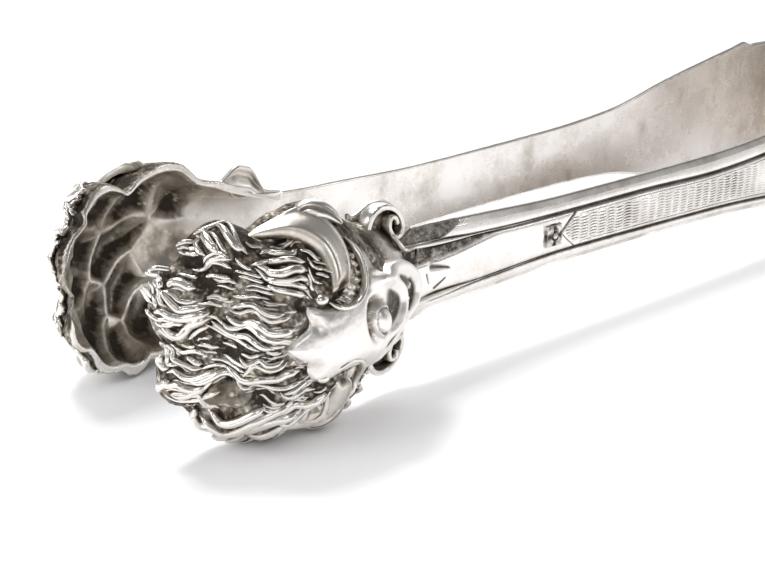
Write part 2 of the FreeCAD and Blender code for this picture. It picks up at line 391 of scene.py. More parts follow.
def silver(name, *, bright, warm, dark, roughness, cavity, tarnish, blotch, cavity_reach,
           scratches, edge_wear, grain=0.00003):
    """Silver that darkens with its per-point attribute, which holds tarnish and, inside the
    claws, painted shade, and in its cavities.

    cavity, the strength of tarnish and painted shade, blotch, scratches and edge_wear are
    strengths; cavity_reach and grain (the height of the surface bump) are in metres.
    """
    material = bpy.data.materials.new(name)
    nodes = Nodes(material)
    add = lambda first, second: nodes.math("ADD", first, second)
    times = lambda first, second: nodes.math("MULTIPLY", first, second)
    centred = lambda value, gain: times(nodes.math("SUBTRACT", value, 0.5), gain)
    place = nodes.new("ShaderNodeTexCoord").outputs["Object"]
    # per-point darkness: tarnish, and inside the claws painted shade
    painted = nodes.new("ShaderNodeAttribute", attribute_name="tarnish").outputs["Fac"]
    occlusion = nodes.new("ShaderNodeAmbientOcclusion", {"Distance": cavity_reach}, samples=6)
    geometry = nodes.new("ShaderNodeNewGeometry")

    def texture(scale, detail, rough=0.55, vector=place):
        inputs = {"Scale": scale, "Detail": detail, "Roughness": rough, "Vector": vector}
        return nodes.new("ShaderNodeTexNoise", inputs).outputs["Fac"]

    hollow = nodes.remap(occlusion.outputs["AO"], span=(0.95, 0.35), to=(0.0, cavity))
    big = texture(scale=90.0, detail=4.0)
    middle = texture(scale=420.0, detail=4.0)
    fine = texture(scale=2600.0, detail=3.0)
    patch = nodes.remap(add(times(big, 0.6), times(middle, 0.4)),
                        span=(0.48, 0.66), to=(0.0, blotch))
    # how dark the surface is: the stronger of the per-point attribute (tarnish, and painted
    # shade inside the claws) and cavity, patches and fine speckle, less the wear on raised
    # edges
    grime_and_shade = nodes.math("MAXIMUM", times(painted, tarnish), hollow)
    grime_and_shade = add(grime_and_shade, times(patch, 0.5))
    grime_and_shade = add(grime_and_shade, centred(fine, 0.25))
    wear = nodes.remap(geometry.outputs["Pointiness"], span=(0.50, 0.56), to=(0.0, edge_wear))
    grime_and_shade = nodes.math("SUBTRACT", grime_and_shade, wear, clamped=True)
    warmth = nodes.math("ADD", patch, times(grime_and_shade, 0.9), clamped=True)
    colour = nodes.mix_colour(warmth, (*bright, 1), (*warm, 1))
    darkness = nodes.remap(grime_and_shade, span=(0.22, 0.88), to=(0.0, 1.0))
    colour = nodes.mix_colour(darkness, colour, (*dark, 1))
    # scratches: noise drawn out along x
    stretched = nodes.new("ShaderNodeMapping",
                          {"Vector": place, "Scale": (500.0, 7000.0, 9000.0)}).outputs[0]
    scratch = texture(scale=1.0, detail=2.0, rough=0.5, vector=stretched)
    polish = nodes.remap(grime_and_shade, span=(0.0, 1.0), to=(roughness, 0.62))
    polish = add(polish, centred(middle, 0.16))
    polish = nodes.math("ADD", polish, centred(scratch, 0.10 * scratches), clamped=True)
    height = add(times(fine, 0.8), times(scratch, 0.9 * scratches))
    height = add(height, times(texture(scale=900.0, detail=3.0), 1.1))
    bump = nodes.new("ShaderNodeBump",
                     {"Strength": 0.30, "Distance": grain, "Height": height})
    shader = nodes.new("ShaderNodeBsdfPrincipled", {
        "Base Color": colour,
        "Metallic": nodes.remap(grime_and_shade, span=(0.45, 1.0), to=(1.0, 0.55)),
        "Roughness": polish,
        "Normal": bump.outputs[0],
    })
    nodes.new("ShaderNodeOutputMaterial", {0: shader.outputs[0]})
    return material


CAST = silver(
    "cast_antique_silver", bright=(0.86, 0.83, 0.79), warm=(0.50, 0.41, 0.29),
    dark=(0.036, 0.027, 0.018), roughness=0.27, cavity=0.72, tarnish=0.90, blotch=0.40,
    cavity_reach=0.0009, scratches=0.2, edge_wear=0.35, grain=0.00006)
BURNISHED = silver(
    "burnished_leaf_silver", bright=(0.90, 0.87, 0.84), warm=(0.64, 0.57, 0.46),
    dark=(0.035, 0.028, 0.020), roughness=0.38, cavity=0.60, tarnish=0.85, blotch=0.10,
    cavity_reach=0.0010, scratches=0.4, edge_wear=0.35)
SCROLLWORK = silver(
    "scrollwork_silver", bright=(0.86, 0.83, 0.79), warm=(0.52, 0.43, 0.30),
    dark=(0.034, 0.026, 0.018), roughness=0.29, cavity=0.85, tarnish=0.85, blotch=0.35,
    cavity_reach=0.0010, scratches=0.3, edge_wear=0.35, grain=0.00005)
WORN_BAND = silver(
    "worn_band_silver", bright=(0.87, 0.84, 0.815), warm=(0.60, 0.53, 0.44),
    dark=(0.035, 0.028, 0.022), roughness=0.22, cavity=0.45, tarnish=0.85, blotch=0.30,
    cavity_reach=0.0008, scratches=0.8, edge_wear=0.2)


# ------------------------------------------------------------------ claw surface
def flank(x, z, share):
    """How far the lower flank of the neck is drawn in; share is |z| over the half width."""
    return (1.7 * rise(x, 16.0, 21.0) * rise(x, 34.5, 28.5) * bell((z + 6.8) / 2.6)
            * rise(share, 1.0, 0.88))


def base_y(x, z):
    x = np.clip(x, 0, 38)
    share = np.minimum(np.abs(z) / HALF_WIDTH(x), 0.9995)
    arch = (CROWN_Y(x) - RIM_Y(x)) * (1 - share ** 2.2) ** 0.5
    return RIM_Y(x) + arch - flank(x, z, share)


def on_base(x, z):
    return np.stack([x, base_y(x, z), z], -1)


# Cells of the claw wall, each pressed outward: strength, then the seed line of the cell.
CELLS = table("""
    0.75 21.2,8.4 23.6,5.4
    0.85 19,9 17.2,7 15,5.2
    0.9 12,7.8 11.2,5.9
    0.9 9.6,2.6 8.5,0 7.2,-2
    0.9 16.2,2.7 14.2,0.8 12.3,-1.1
    0.9 16.3,-3.3 14.7,-4.9 13.1,-6.6
    0.9 10.4,-5.2 8.3,-7 6.3,-8.4
    0.9 17.6,-7.2 16.1,-8.7 14.3,-10.2
    0.9 11.6,-9.3 11.3,-11.1
    0.75 21.3,-8.4 23.7,-5.4
    0.25 20.5,-1.5 23.5,0.3 27,0.2
    0.5 7,8.6 5.6,6.2
    0.35 3.4,4.5 2.6,0.8
    0.35 3.4,-4.6
    0.3 27,4.6
    0.3 27,-4.6
    """, 1)
CELL_STRENGTH = np.array([strength for strength, _ in CELLS])
CELL_SEEDS = []
for _, line in CELLS:
    seeds = on_base(line[:, 0], line[:, 1])
    CELL_SEEDS.append(seeds if len(seeds) == 1 else resample(seeds, 7))

# Lobed outline of the claw, from the top of the neck round the tip to the lower side.
LOBES = points("""
    30,7.3 27.2,7.7 25.2,8.2 23.4,9.2 22,10.6 20.6,11.9 18.6,12.4 16.2,12.2 13.8,11.5 12.4,10.6
    11.5,10.2 10.4,10.9 8.8,11.6 6.8,11.4 5.4,10.6 4.3,9.7 4.1,8.6 3.4,7.9 2.2,7 1.2,5.6 0.5,3.6
    0.7,1.4 1.5,-0.2 1.9,-0.9 1.3,-2 0.9,-3.9 1.2,-6.2 2.3,-7.6 3.2,-7.9 4,-9 4.9,-10.4
    6.4,-11.6 8,-11.9 9,-12 10.2,-12.7 12.2,-12.9 13.6,-12.1 15.2,-12.5 18,-12.6 20.6,-11.9
    22,-10.6 23.4,-9.2 25.2,-8.2 27.2,-7.7 30,-7.3""")
LOBE_X = 15.0   # the outlines are compared by their radius about this x at mid height
LOBE_ANGLES = np.linspace(-math.pi, math.pi, 720)


def polar_radius(x, z):
    """Radius of an outline at each of the lobe angles."""
    angle = np.arctan2(z, LOBE_X - x)
    order = np.argsort(angle)
    return np.interp(LOBE_ANGLES, angle[order], np.hypot(x - LOBE_X, z)[order])


LOBE_RADIUS = polar_radius(*resample(LOBES, 1400).T)
edge_x = np.linspace(CLAW_END, 0, 600)
BASE_RADIUS = polar_radius(
    np.concatenate([edge_x, np.zeros(200), edge_x[::-1]]),
    np.concatenate([HALF_WIDTH(edge_x), np.linspace(3, -3, 200), -HALF_WIDTH(edge_x[::-1])]))


def lobe_warp(x, z, inset=0.0):
    """Move points so that the base outline becomes the lobed one."""
    angle = np.arctan2(z, LOBE_X - x)
    base = np.interp(angle, LOBE_ANGLES, BASE_RADIUS)
    growth = (np.interp(angle, LOBE_ANGLES, LOBE_RADIUS) - inset) / base - 1
    share = np.clip(np.hypot(x - LOBE_X, z) / base, 0, 1.05)
    scale = 1 + growth * share ** 3 * rise(x, 27.0, 23.0)
    return LOBE_X + (x - LOBE_X) * scale, z * scale


def cell_field(places):
    """Boss outside and hollow inside: 0 on the webs between cells, most in their middle."""
    best = np.full(places.shape[:-1], 1e9)
    second = best.copy()
    owner = np.zeros(best.shape, int)
    for i, seeds in enumerate(CELL_SEEDS):
        gap = np.full(best.shape, 1e9)
        for seed in seeds:
            gap = np.minimum(gap, ((places - seed) ** 2).sum(-1))
        gap = np.sqrt(gap)
        closer = gap < best
        second = np.where(closer, best, np.minimum(second, gap))
        best = np.where(closer, gap, best)
        owner = np.where(closer, i, owner)
    margin = second - best
    swell = clamp((np.sqrt(margin ** 2 + 0.16) - 0.40) / 4.2)
    boss = 0.55 * rise(swell, 0, 1) + 0.45 * (1 - (1 - swell) ** 2)
    hollow = 1.15 * rise(margin, 0.25, 3.95)
    return boss * CELL_STRENGTH[owner], hollow * CELL_STRENGTH[owner]


def claw_skin(rows, columns, inner):
    """Plain outer or inner skin of the claw, with the station and angle of each point."""
    x = np.linspace(0, CLAW_END, 3000)
    length = np.concatenate([[0], np.cumsum(np.hypot(np.diff(x), np.diff(CROWN_Y(x))))])
    stations = np.interp(np.linspace(0, length[-1], rows), length, x)
    angles = np.linspace(-math.pi / 2, math.pi / 2, columns)
    station, angle = np.meshgrid(stations, angles, indexing="ij")
    neck = rise(station, 29.0, 36.0)   # the section turns from claw to stem here
    if inner:
        x = station + 1.25 * (1 - station / CLAW_END) ** 5
        wall = 0.9 + 0.4 * neck
        face = -SHEET / 2
    else:
        x, wall, face = station, 0.0, SHEET / 2
    rim = RIM_Y(station) * (1 - neck) + (SHEET_Y(station) + face) * neck
    z = (HALF_WIDTH(x) - wall * (1 - neck)) * np.sin(angle)
    y = rim + (CROWN_Y(x) - wall - rim) * np.maximum(np.cos(angle), 0) ** (1 + neck)
    y = y - flank(x, z, np.abs(np.sin(angle)))
    return np.stack([x, y, z], -1), station, angle


def skin_normals(skin):
    """Normals of a grid, looking away from the mid plane."""
    normal = unit(np.cross(np.gradient(skin, axis=0), np.gradient(skin, axis=1)))
    middle = normal[skin.shape[0] // 2, skin.shape[1] // 2, 1]
    return -normal if middle < 0 else normal


# Area under the applied leaf, where the skin lies low.
LEAF_BED = points("""
    10.4,-0.4 12.4,1.2 12.9,2.9 14.4,2.7 18.1,3.1 19.8,4.3 20.5,6.6 21.3,5.2 23.3,5 25.9,4.6
    28.8,3.4 31.1,2 33,-0.2 31.1,-2.5 28.8,-3.7 25.9,-4.8 23.3,-5.2 21.3,-5.2 20.5,-6.6
    19.3,-4.6 17.6,-3.6 14.1,-4.1 12.8,-3.8 12.3,-2.3 10.8,-1.2""")
# Broad dark hollows between the groups of locks: x, z, radius.
POCKETS = [
    (3.3, 0.3, 1.0), (2.5, 1.9, 0.8), (5.0, 6.6, 1.5), (8.0, -5.8, 1.1), (3.9, 8.5, 0.8),
    (6.3, 7.6, 0.9), (12.2, 10.2, 1.5), (5.2, -0.1, 1.1), (8.0, -0.4, 1.0), (11.3, 4.7, 0.9),
    (6.5, 2.0, 0.9), (10.0, 8.2, 0.9),
]
ROUND_BOSS = (5.4, -5.1)   # x, z of a single round boss low on the tip


def from_boss(x, z):
    """Squared distance from the round boss."""
    return (x - ROUND_BOSS[0]) ** 2 + (z - ROUND_BOSS[1]) ** 2


def under_leaf(x, z):
    inside = np.zeros(np.broadcast(x, z).shape, bool)
    for (x0, z0), (x1, z1) in zip(LEAF_BED, np.roll(LEAF_BED, -1, 0)):
        if z0 != z1:
            crossing = (x1 - x0) * (z - z0) / (z1 - z0) + x0
            inside ^= ((z0 > z) != (z1 > z)) & (x < crossing)
    return inside


def ground(places, boss, applied=True):
    """Outward relief of the outer skin; applied adds the leaf bed and the round boss."""
    x, z = places[..., 0], places[..., 2]
    height = 1.35 * boss
    if applied:
        height = np.where(under_leaf(x, z), np.minimum(height, 0.15), height)
    for centre_x, centre_z, radius in POCKETS:
        gap = (x - centre_x) ** 2 + (z - centre_z) ** 2
        height = height - 0.42 * np.exp(-gap / (0.75 * radius * radius))
    height = height * (0.40 + 0.60 * rise(np.abs(z) / HALF_WIDTH(x), 1.0, 0.94))
    if applied:
        height = height + 1.45 * clamp(1 - from_boss(x, z) / 2.9) ** 0.55
    return height


def skin_frame(x, z, first_x, width_share, step, steepest):
    """Place on the base skin, held inside its edges, and the outward normal there."""
    x = np.clip(x, first_x, CLAW_END)
    limit = HALF_WIDTH(x) * width_share
    z = np.clip(z, -limit, limit)
    slope_x = (base_y(x + step, z) - base_y(x - step, z)) / (2 * step)
    slope_z = (base_y(x, z + step) - base_y(x, z - step)) / (2 * step)
    slope_x = np.clip(slope_x, -steepest, steepest)
    slope_z = np.clip(slope_z, -steepest, steepest)
    return on_base(x, z), unit(np.stack([-slope_x, np.ones_like(slope_x), -slope_z], -1))


def bossed_skin(path):
    """Points and normals on the finished outer skin for x,z points."""
    x, z = path[..., 0], path[..., 1]
    base, normal = skin_frame(x, z, first_x=0.02, width_share=0.985, step=0.05, steepest=4)
    boss, _ = cell_field(base)
    places = base + normal * ground(base, boss)[..., None]
    places[..., 0] += x - base[..., 0]
    places[..., 2] += z - base[..., 2]
    x, z = places[..., 0], places[..., 2]
    warped_x, warped_z = lobe_warp(x, z)
    inward = np.hypot(warped_x - LOBE_X, warped_z) < np.hypot(x - LOBE_X, z)
    return np.stack([np.where(inward, warped_x, x), places[..., 1],
                     np.where(inward, warped_z, z)], -1), normal


def smooth_skin(x, z):
    """Places and normals on the base skin, without bosses, for the ornaments."""
    base, normal = skin_frame(x, z, first_x=0.5, width_share=0.97, step=0.08, steepest=2.5)
    return np.stack([x, base[..., 1], z], -1), normal


def under_skin(base, low, top):
    """Underside of an ornament: it stays below its top and out of the wall's hollows."""
    boss, _ = cell_field(base)
    return np.minimum(np.maximum(low, ground(base, boss, applied=False) - 0.34), top - 0.04)


# ------------------------------------------------------------------ locks of the claw
# Each row: width, relative height, path from root to tip.
LOCKS = table("""
    0.37 1.0 8.7,11.5 8.3,11.6 7.5,11.4 6.9,11.3 5.9,11.1 5.1,10.8
    0.62 1.0 8,9.4 7.5,9.7 7.4,10.4 7.5,11.1 7.4,11.4
    0.31 0.7 6.6,9.2 6.5,9.7 6.6,10.4 6.6,10.9 6.5,11
    0.73 0.9 6.1,9.2 5.9,9.8 6,10.4 6.3,10.9 5.7,11.1
    0.47 0.9 5.1,9 4.9,9.4 5.1,9.9 5.6,10.4 5.2,10.8
    0.36 0.8 8,9.1 7.8,9.9 8,10.7 8.3,11.4 8.4,11.6
    0.36 0.9 4.9,9.5 4.5,9.6 4,9.8 3.1,9.8
    0.42 0.9 4.7,9.1 4.2,9.2 3.8,9.3 3.1,9.7
    0.37 0.8 5,9.9 4.9,10.1 4,10.3 3.3,10
    0.46 1.0 6.7,8.7 5.9,8.8 5,8.5 4.4,8.1 3.9,7.9 3.6,8
    0.31 0.9 6.6,8.9 6,9.2 5.3,9 4.7,8.6
    0.36 0.8 6.4,8 5.9,8.4 5.3,8.5 4.7,8.2
    0.41 0.9 6,7.2 5.3,7.4 4.7,7.5 4.2,7.3
    0.42 0.9 2.6,7.4 2.2,7.6 1.2,7.8 0.5,7.5 0,7.2
    0.68 1.0 1.4,5.5 1.7,6.3 1.4,7.1 0.8,7.2 0,7.1
    0.47 0.9 1.5,4.1 1.2,4.3 1.2,4.9 1.4,5.7 0.9,6.6
    0.37 0.9 0.6,4.2 0.2,4.6 -0.3,5.4 -0.8,6.1
    0.42 0.9 1,4.8 0.6,4.9 0,5.6 -0.7,6.3
    0.37 0.8 0.6,3.8 0.8,4.7 0.8,5.7 0.4,6.6
    0.62 1.0 3.8,4.3 2.9,4.1 2.2,3.9 1.8,4.5 1.6,5.1 1.5,5.6
    0.41 0.7 3.4,4.9 2.8,4.7 2.3,4.8 2,5.3 1.6,5.6
    0.72 1.0 3.5,6.1 3.1,6.2 2.7,6.5 2.3,6.4 2,5.9
    0.73 1.0 4,3.8 3.1,3.4 2.3,3.1 1.5,3.2 0.9,3.6 0.3,3.4
    0.42 0.9 1.5,2.5 0.9,2.8 0.3,2.7 -0.1,3 -0.5,3.7
    0.78 1.0 4,3.3 3.2,2.9 2.6,2.4 2.1,1.6 1.7,1.1 1.2,1.2 0.8,1.7 0.4,2
    0.52 0.9 2.2,2.4 1.6,2.5 1,2.2 0.4,2.2 0,2.5
    0.37 0.8 1.3,0.5 0.8,0.8 0.4,1.3 0.1,1.8
    0.36 0.7 3.8,2.5 3.2,2 2.7,1.4 2.3,0.8
    0.42 0.9 3.1,-1.2 2.5,-0.8 2,-0.9 1.4,-1.2 0.9,-0.9 0.6,-0.3
    0.32 0.7 1.3,-1.6 0.9,-1.3 0.7,-0.6 0.4,-0.1
    0.47 1.0 3.2,-2.5 2.5,-2.7 1.9,-2.5 1.3,-2.3 0.7,-2 0.4,-1.2 -0.1,-0.6 -0.8,-0.2
    0.42 0.9 1.5,-2.6 0.9,-2.7 0.4,-2.7 0.1,-1.9 -0.4,-1.1 -1.1,-0.4
    0.53 0.9 3,-2.1 2.6,-2.1 2.2,-1.8 1.9,-1.6
    0.74 0.9 0.7,-3.1 0.3,-3.1 -0.4,-2.6 -1.1,-1.8
    0.53 0.7 0.4,-1.8 0,-1.5 -0.5,-0.7 -0.9,0.2
    0.53 1.0 4.5,-2.7 3.7,-2.9 3.2,-3.3 2.8,-3.6 2.2,-3.7 1.6,-3.4 1.1,-3.2 0.6,-3.5
    0.53 1.0 3.7,-4.2 3.1,-4.7 2.5,-4.7 1.8,-4.4 1.2,-4.7 0.7,-4.2
    0.37 0.9 4.6,-2.7 4,-3.4 3.5,-4.5 2.9,-5 2.1,-4.9 1.6,-4.9 1.3,-5.3
    0.48 0.9 3.5,-5.1 2.9,-5.4 2.3,-5.4 1.7,-5.4
    0.43 1.0 4.6,-4.2 3.9,-4.9 3.5,-5.8 2.8,-6.2 2.2,-6.3 1.8,-6 1.4,-5.6
    0.65 0.9 1.2,-4.2 0.9,-4.7 0.8,-5.4 0.7,-5.7
    0.52 1.0 12.7,9.5 11.7,9.2 10.7,9.2 9.9,9.4 9,9.1
    0.57 1.0 12.7,8.2 11.5,8.4 10.4,8.4 9.5,8.5 8.6,8.3 7.9,8.2
    0.72 1.0 12.5,7.4 11.3,7.4 10.2,7.2 9.4,7.4 8.9,7.9 8.2,8.2
    0.46 1.0 12.8,6.2 11.7,6.6 10.6,6.5 9.6,6.6 8.8,7 8.5,7.5 8.1,8
    0.41 0.9 12.3,5.5 11.5,5.9 10.6,6.2 9.6,6.4 8.9,6.6
    0.56 1.0 12,4.9 11,5.3 10.1,5.6 9.3,5.9 8.7,6.3
    0.33 0.8 13.1,10.3 12.1,10.2 11.2,10 10.4,10
    0.27 0.7 8.5,7.1 7.7,7.4 7.2,7.6 6.6,7.8
    0.27 0.7 8.5,6.6 7.8,6.9 7.2,7.2 6.7,7.3
    0.27 0.7 9,5.9 8.1,6.3 7.5,6.5 6.9,6.4
    0.27 0.7 9.1,5.4 8.2,5.8 7.5,6.1 6.8,6.1
    0.33 0.8 8,5.2 7.2,5.5 6.5,5.4 5.8,5.5
    0.31 0.7 7.8,7.8 7.3,8.2 7,8.8
    0.27 0.7 14.9,7 14.1,7.4 13.5,7.8 13.2,8.5
    0.27 0.7 14,5.8 13.4,6.3 13,7 12.9,7.7
    0.31 0.8 13.1,5.2 12.8,5.8 12.8,6.5 12.5,7.2
    0.33 0.7 14.8,7.9 14.2,8.5 13.7,9 12.9,9.3
    0.27 0.7 14.8,6.2 14.3,6.7 13.7,7
    0.51 1.0 9.6,3.5 8.8,3.4 8.1,3.6 7.6,4.1 7,4.6 6.3,4.6 5.5,4.3
    0.41 1.0 10.1,3.2 9.2,3 8.3,2.9 7.8,3.3 7.4,3.8 6.8,4 6,3.8 5.3,4.1
    0.67 1.0 10.3,2 9.1,1.8 8.1,1.9 7.5,2.5 6.8,2.8 6,2.6 5.4,3 5,3.6
    0.57 1.0 9.5,1 8.4,1.1 7.6,1.5 7,2.1 6.4,2.4 5.6,2.2 5,2.3 4.6,3
    0.52 1.0 8.4,0.1 7.5,0.4 6.9,1 6.3,1.4 5.6,1.4 5,1.7 4.5,2.3 4,3
    0.31 0.8 7.2,0 6.4,0.5 5.7,0.9 5,1.3 4.5,1.8 4,2.3 3.5,2.7
    0.31 0.8 5.3,2 4.7,2.6 4.3,3.3 3.8,3.4 3.2,3
    0.27 0.7 5,1.5 4.5,2 4,2.6
    0.41 1.0 9.2,-1.3 8.4,-1.6 7.7,-1.5 7.2,-1 6.7,-1.2 6.2,-1.4 5.6,-0.8
    0.42 1.0 9.6,-1.7 8.7,-2.2 7.9,-2.1 7.2,-1.6 6.7,-1.5 6.3,-2.1 6,-2.7
    0.73 1.0 11,-3 9.7,-3.1 8.8,-3.6 8,-3.4 7.2,-3.1 6.5,-3.3 5.9,-3.1 5.3,-2.5 4.7,-2
    0.37 1.0 11.4,-4 10.3,-4.1 9.4,-4.5 8.5,-4.6 7.6,-4.3 6.9,-3.9 6.3,-4 5.7,-3.4 5.1,-2.9
    0.42 0.9 12.9,-5.4 11.8,-5.6 10.9,-5.8 9.9,-5.5 9.2,-4.9
    0.48 0.7 12,-4.4 11.2,-4.6 10.3,-4.8 9.5,-4.9
    0.31 0.8 6.4,-1.7 5.6,-1.5 4.9,-1.2 4.3,-0.8
    0.31 0.8 6.2,-2.3 5.5,-2 4.7,-1.6 4.1,-1.4 3.5,-1.5
    0.31 0.8 5.7,-2.9 4.9,-2.3 4.2,-2 3.6,-2.2 3,-2.6
    0.31 0.7 5.5,0 4.9,0.3 4.4,0.7
    0.31 0.7 7.2,-0.4 6.4,-0.6 5.8,-0.4
    0.43 0.9 10.8,-6.3 10.1,-7 9.4,-7.3 8.6,-6.9 8,-6.5
    0.70 1.0 13.8,-5.7 13.1,-6.6 12.3,-7.3 11.3,-7.4 10.5,-8 9.7,-8.2 8.8,-8 8.2,-8.4
    0.49 1.0 14.3,-5.6 14.1,-6.9 13.8,-8.1 13,-8.8 12,-9 11.3,-9.5 9.9,-8.9 8.7,-8.3
    0.44 1.0 15.1,-6.7 15.2,-8.3 14.9,-9.5 14.2,-10.1 12.7,-10
    """, 2)
# Larger locks low on the tip.
LOW_LOCKS = table("""
    0.85 1.0 11.9,-8.2 10.2,-9 9,-10.2 8.2,-11.4 7.2,-12 6,-11.4
    0.80 1.0 11,-6.9 9,-7.4 7.7,-8.1 7,-9.3 6.4,-10 5,-9.2 4.2,-8.6
    0.70 1.0 8.1,-6.4 7,-7.3 6.3,-8 5.4,-8.4 4.4,-7.7
    0.65 1.0 5,-9.2 5,-10.4 4.1,-9.3 3.4,-7.8
    0.60 0.9 4.8,-7.3 4,-6.8 3.5,-5.9 3.2,-4.9
    0.55 0.9 3.7,-4.6 3.1,-4.9 2.6,-5.6 2.2,-5.8 1.7,-5.5
    0.60 0.9 6,-3.2 5.2,-2.8 4.4,-2.8 3.7,-3.5 3.1,-3.9 2.5,-3.8
    """, 2)
# Locks that curl round the lower rim.
RIM_LOCKS = table("""
    0.55 1.0 8.2,-8.6 7.2,-9.6 6.4,-10.3 5.6,-10.6 5,-10.3
    0.55 1.0 9.6,-9 8.6,-10.2 7.8,-11.2 6.9,-11.8 6,-11.8
    0.60 1.0 11,-9.2 10.2,-10.8 9.4,-12 8.4,-12.7 7.2,-12.7
    0.50 0.9 12.2,-9.4 11.6,-11 10.8,-12.3 9.8,-13.1 8.8,-13.2
    0.60 1.0 13.6,-9 13.4,-10.8 12.8,-12.2 11.8,-13.1 10.6,-13.3
    0.55 1.0 15.2,-8.6 15.4,-10.6 14.9,-12 13.9,-13 12.6,-13.3
    0.55 1.0 16.8,-8.8 17.2,-10.6 16.9,-12 16,-12.9 14.8,-13.2
    0.55 1.0 18.2,-9.4 18.8,-11 18.6,-12.2 17.8,-12.9 16.8,-13.2
    0.50 1.0 19.6,-9.4 20.4,-10.6 20.6,-11.8 19.9,-12.6 18.9,-13
    0.50 0.9 21,-8.6 22,-9.6 22.4,-10.6 21.9,-11.4 20.9,-12
    0.45 0.9 22.8,-7.4 23.8,-8.2 24.2,-9 23.7,-9.8
    0.45 0.9 24.4,-6.4 25.6,-7 26.2,-7.8 25.6,-8.5
    """, 2)


def add_lock(mesh, path, width, height, segments=26, around=14, lift=0.10, tip=0.22,
             tarnish=0.0):
    """Tapering strand on the skin; tip is how far its end lifts, in widths."""
    x, z = path.T
    x = np.where(x > 1.5, x, 1.5 - (1.5 - x) * 0.75)
    places, normal = bossed_skin(resample(np.stack([x, z], -1), segments))
    along = np.linspace(0, 1, segments)
    taper = ((0.25 + 0.75 * rise(along, 0, 0.16))
             * (1 - (np.maximum(along - 0.50, 0) / 0.50) ** 2.6) ** 0.62)
    taper = np.maximum(taper, 0.06)[:, None]
    tall = np.maximum(0.60 * width * height * taper ** 0.8, 0.05)
    deep = np.minimum(0.8 * tall, 0.42)
    angle = turn(around)
    cos, sin = np.cos(angle), np.sin(angle)
    sunk = np.maximum(-sin, 0)
    offset = (lift + tip * rise(along, 0.7, 1.0) * width)[:, None]
    rings = sweep(places, normal, 0.5 * width * taper * cos,
                  offset + tall * np.maximum(sin, 0) ** 0.95 - deep * sunk)
    mesh.tube(rings, clamp(tarnish + sunk * 0.9 + 0.45 * rise(np.abs(cos), 0.78, 0.98)))


def filler_locks(random):
    """Low strands beside the main locks, which follow their flow."""
    lines = [resample(path, 9) for _, _, path in LOCKS + RIM_LOCKS]
    flow = unit(np.concatenate([np.gradient(line, axis=0) for line in lines]))
    guides = np.concatenate(lines)
    guides = on_base(guides[:, 0], guides[:, 1])

    def to_guides(path):
        """Squared distance from every point to every guide."""
        return ((on_base(path[:, 0], path[:, 1])[:, None] - guides[None]) ** 2).sum(-1)

    roots = []
    for x in np.arange(1.0, 26.0, 0.55):
        half = float(HALF_WIDTH(x))
        roots += [(x, z) for z in np.arange(-half + 0.5, half - 0.3, 0.55)]
    roots = np.array(roots) + random.uniform(-0.22, 0.22, (len(roots), 2))
    x, z = roots.T
    gap = np.sqrt(to_guides(roots)).min(1)
    keep = (gap > 0.48) & (gap < 1.25) & (random.uniform(0, 1, len(roots)) < 0.50) & (x > 1.8)
    for centre_x, centre_z, radius in POCKETS:
        keep &= (x - centre_x) ** 2 + (z - centre_z) ** 2 > 0.5 * radius * radius
    keep &= from_boss(x, z) > 3.4
    keep &= (x < 14.5) | (np.abs(z) < 0.70 * HALF_WIDTH(x))
    steps = [roots[keep]]
    count = len(steps[0])
    phase = random.uniform(0, 6.28, count)
    swing = random.uniform(0.2, 0.55, count)
    for i in range(9):
        here = steps[-1]
        x, z = here.T
        heading = np.exp(-to_guides(here) / 0.9) @ flow * 1.5
        heading = unit(heading + 0.3 * unit(np.stack([-(22.0 - x), z * 0.9], -1)))
        angle = swing * np.sin(phase + i * 0.9)
        cos, sin = np.cos(angle), np.sin(angle)
        heading = np.stack([heading[:, 0] * cos - heading[:, 1] * sin,
                            heading[:, 0] * sin + heading[:, 1] * cos], -1)
        # steps are shorter in x and z where the skin is steep
        slope = np.abs(base_y(x + 0.1, z) - base_y(x - 0.1, z)) / 0.2
        steps.append(here + heading * (0.30 / np.sqrt(1 + np.minimum(slope, 3) ** 2))[:, None])
    lengths = random.randint(6, 11, count)
    widths = random.uniform(0.26, 0.46, count)
    locks = []
    for path, length, width in zip(np.stack(steps, 1), lengths, widths):
        path = path[:length]
        inside = (path[:, 0] > 1.3) & (np.abs(path[:, 1]) < HALF_WIDTH(path[:, 0]) * 0.93)
        if not inside.all():
            length = int(np.argmin(inside))
        if length > 4:
            locks.append((width, random.uniform(0.6, 0.95), path[:length]))
    return locks


# ------------------------------------------------------------------ claws
def neck_relief(x, z):
    """Neck: stippled ground above the thread, deep hollow below it; height and tarnish."""
    place = flat(x, z)
    thread = THREAD_Z(x)
    slant = np.clip(x - 40.2, 0, 4) * 0.42
    above = rise(z - thread - slant, 0.28, 0.40) * rise(x, 44.2, 43.6)
    stipple = noise(place, 4.6)
    floor_z = np.interp(x, [31, 33, 36, 38.5, 43, 47, 52],
                        [2.2, 1.2, 1.0, 1.05, 1.45, 2.05, 2.7])
    below = rise(thread - z, 0.22, 0.36) * rise(z - floor_z, -0.35, 0.55) * rise(x, 53.0, 47.0)
    height = (0.09 * stipple - 0.20) * above - 0.34 * below
    tarnish = ((0.80 + 0.25 * stipple) * above
               + (0.85 + 0.35 * noise(place, 1.1) + 0.15 * stipple) * below)
    return height, tarnish


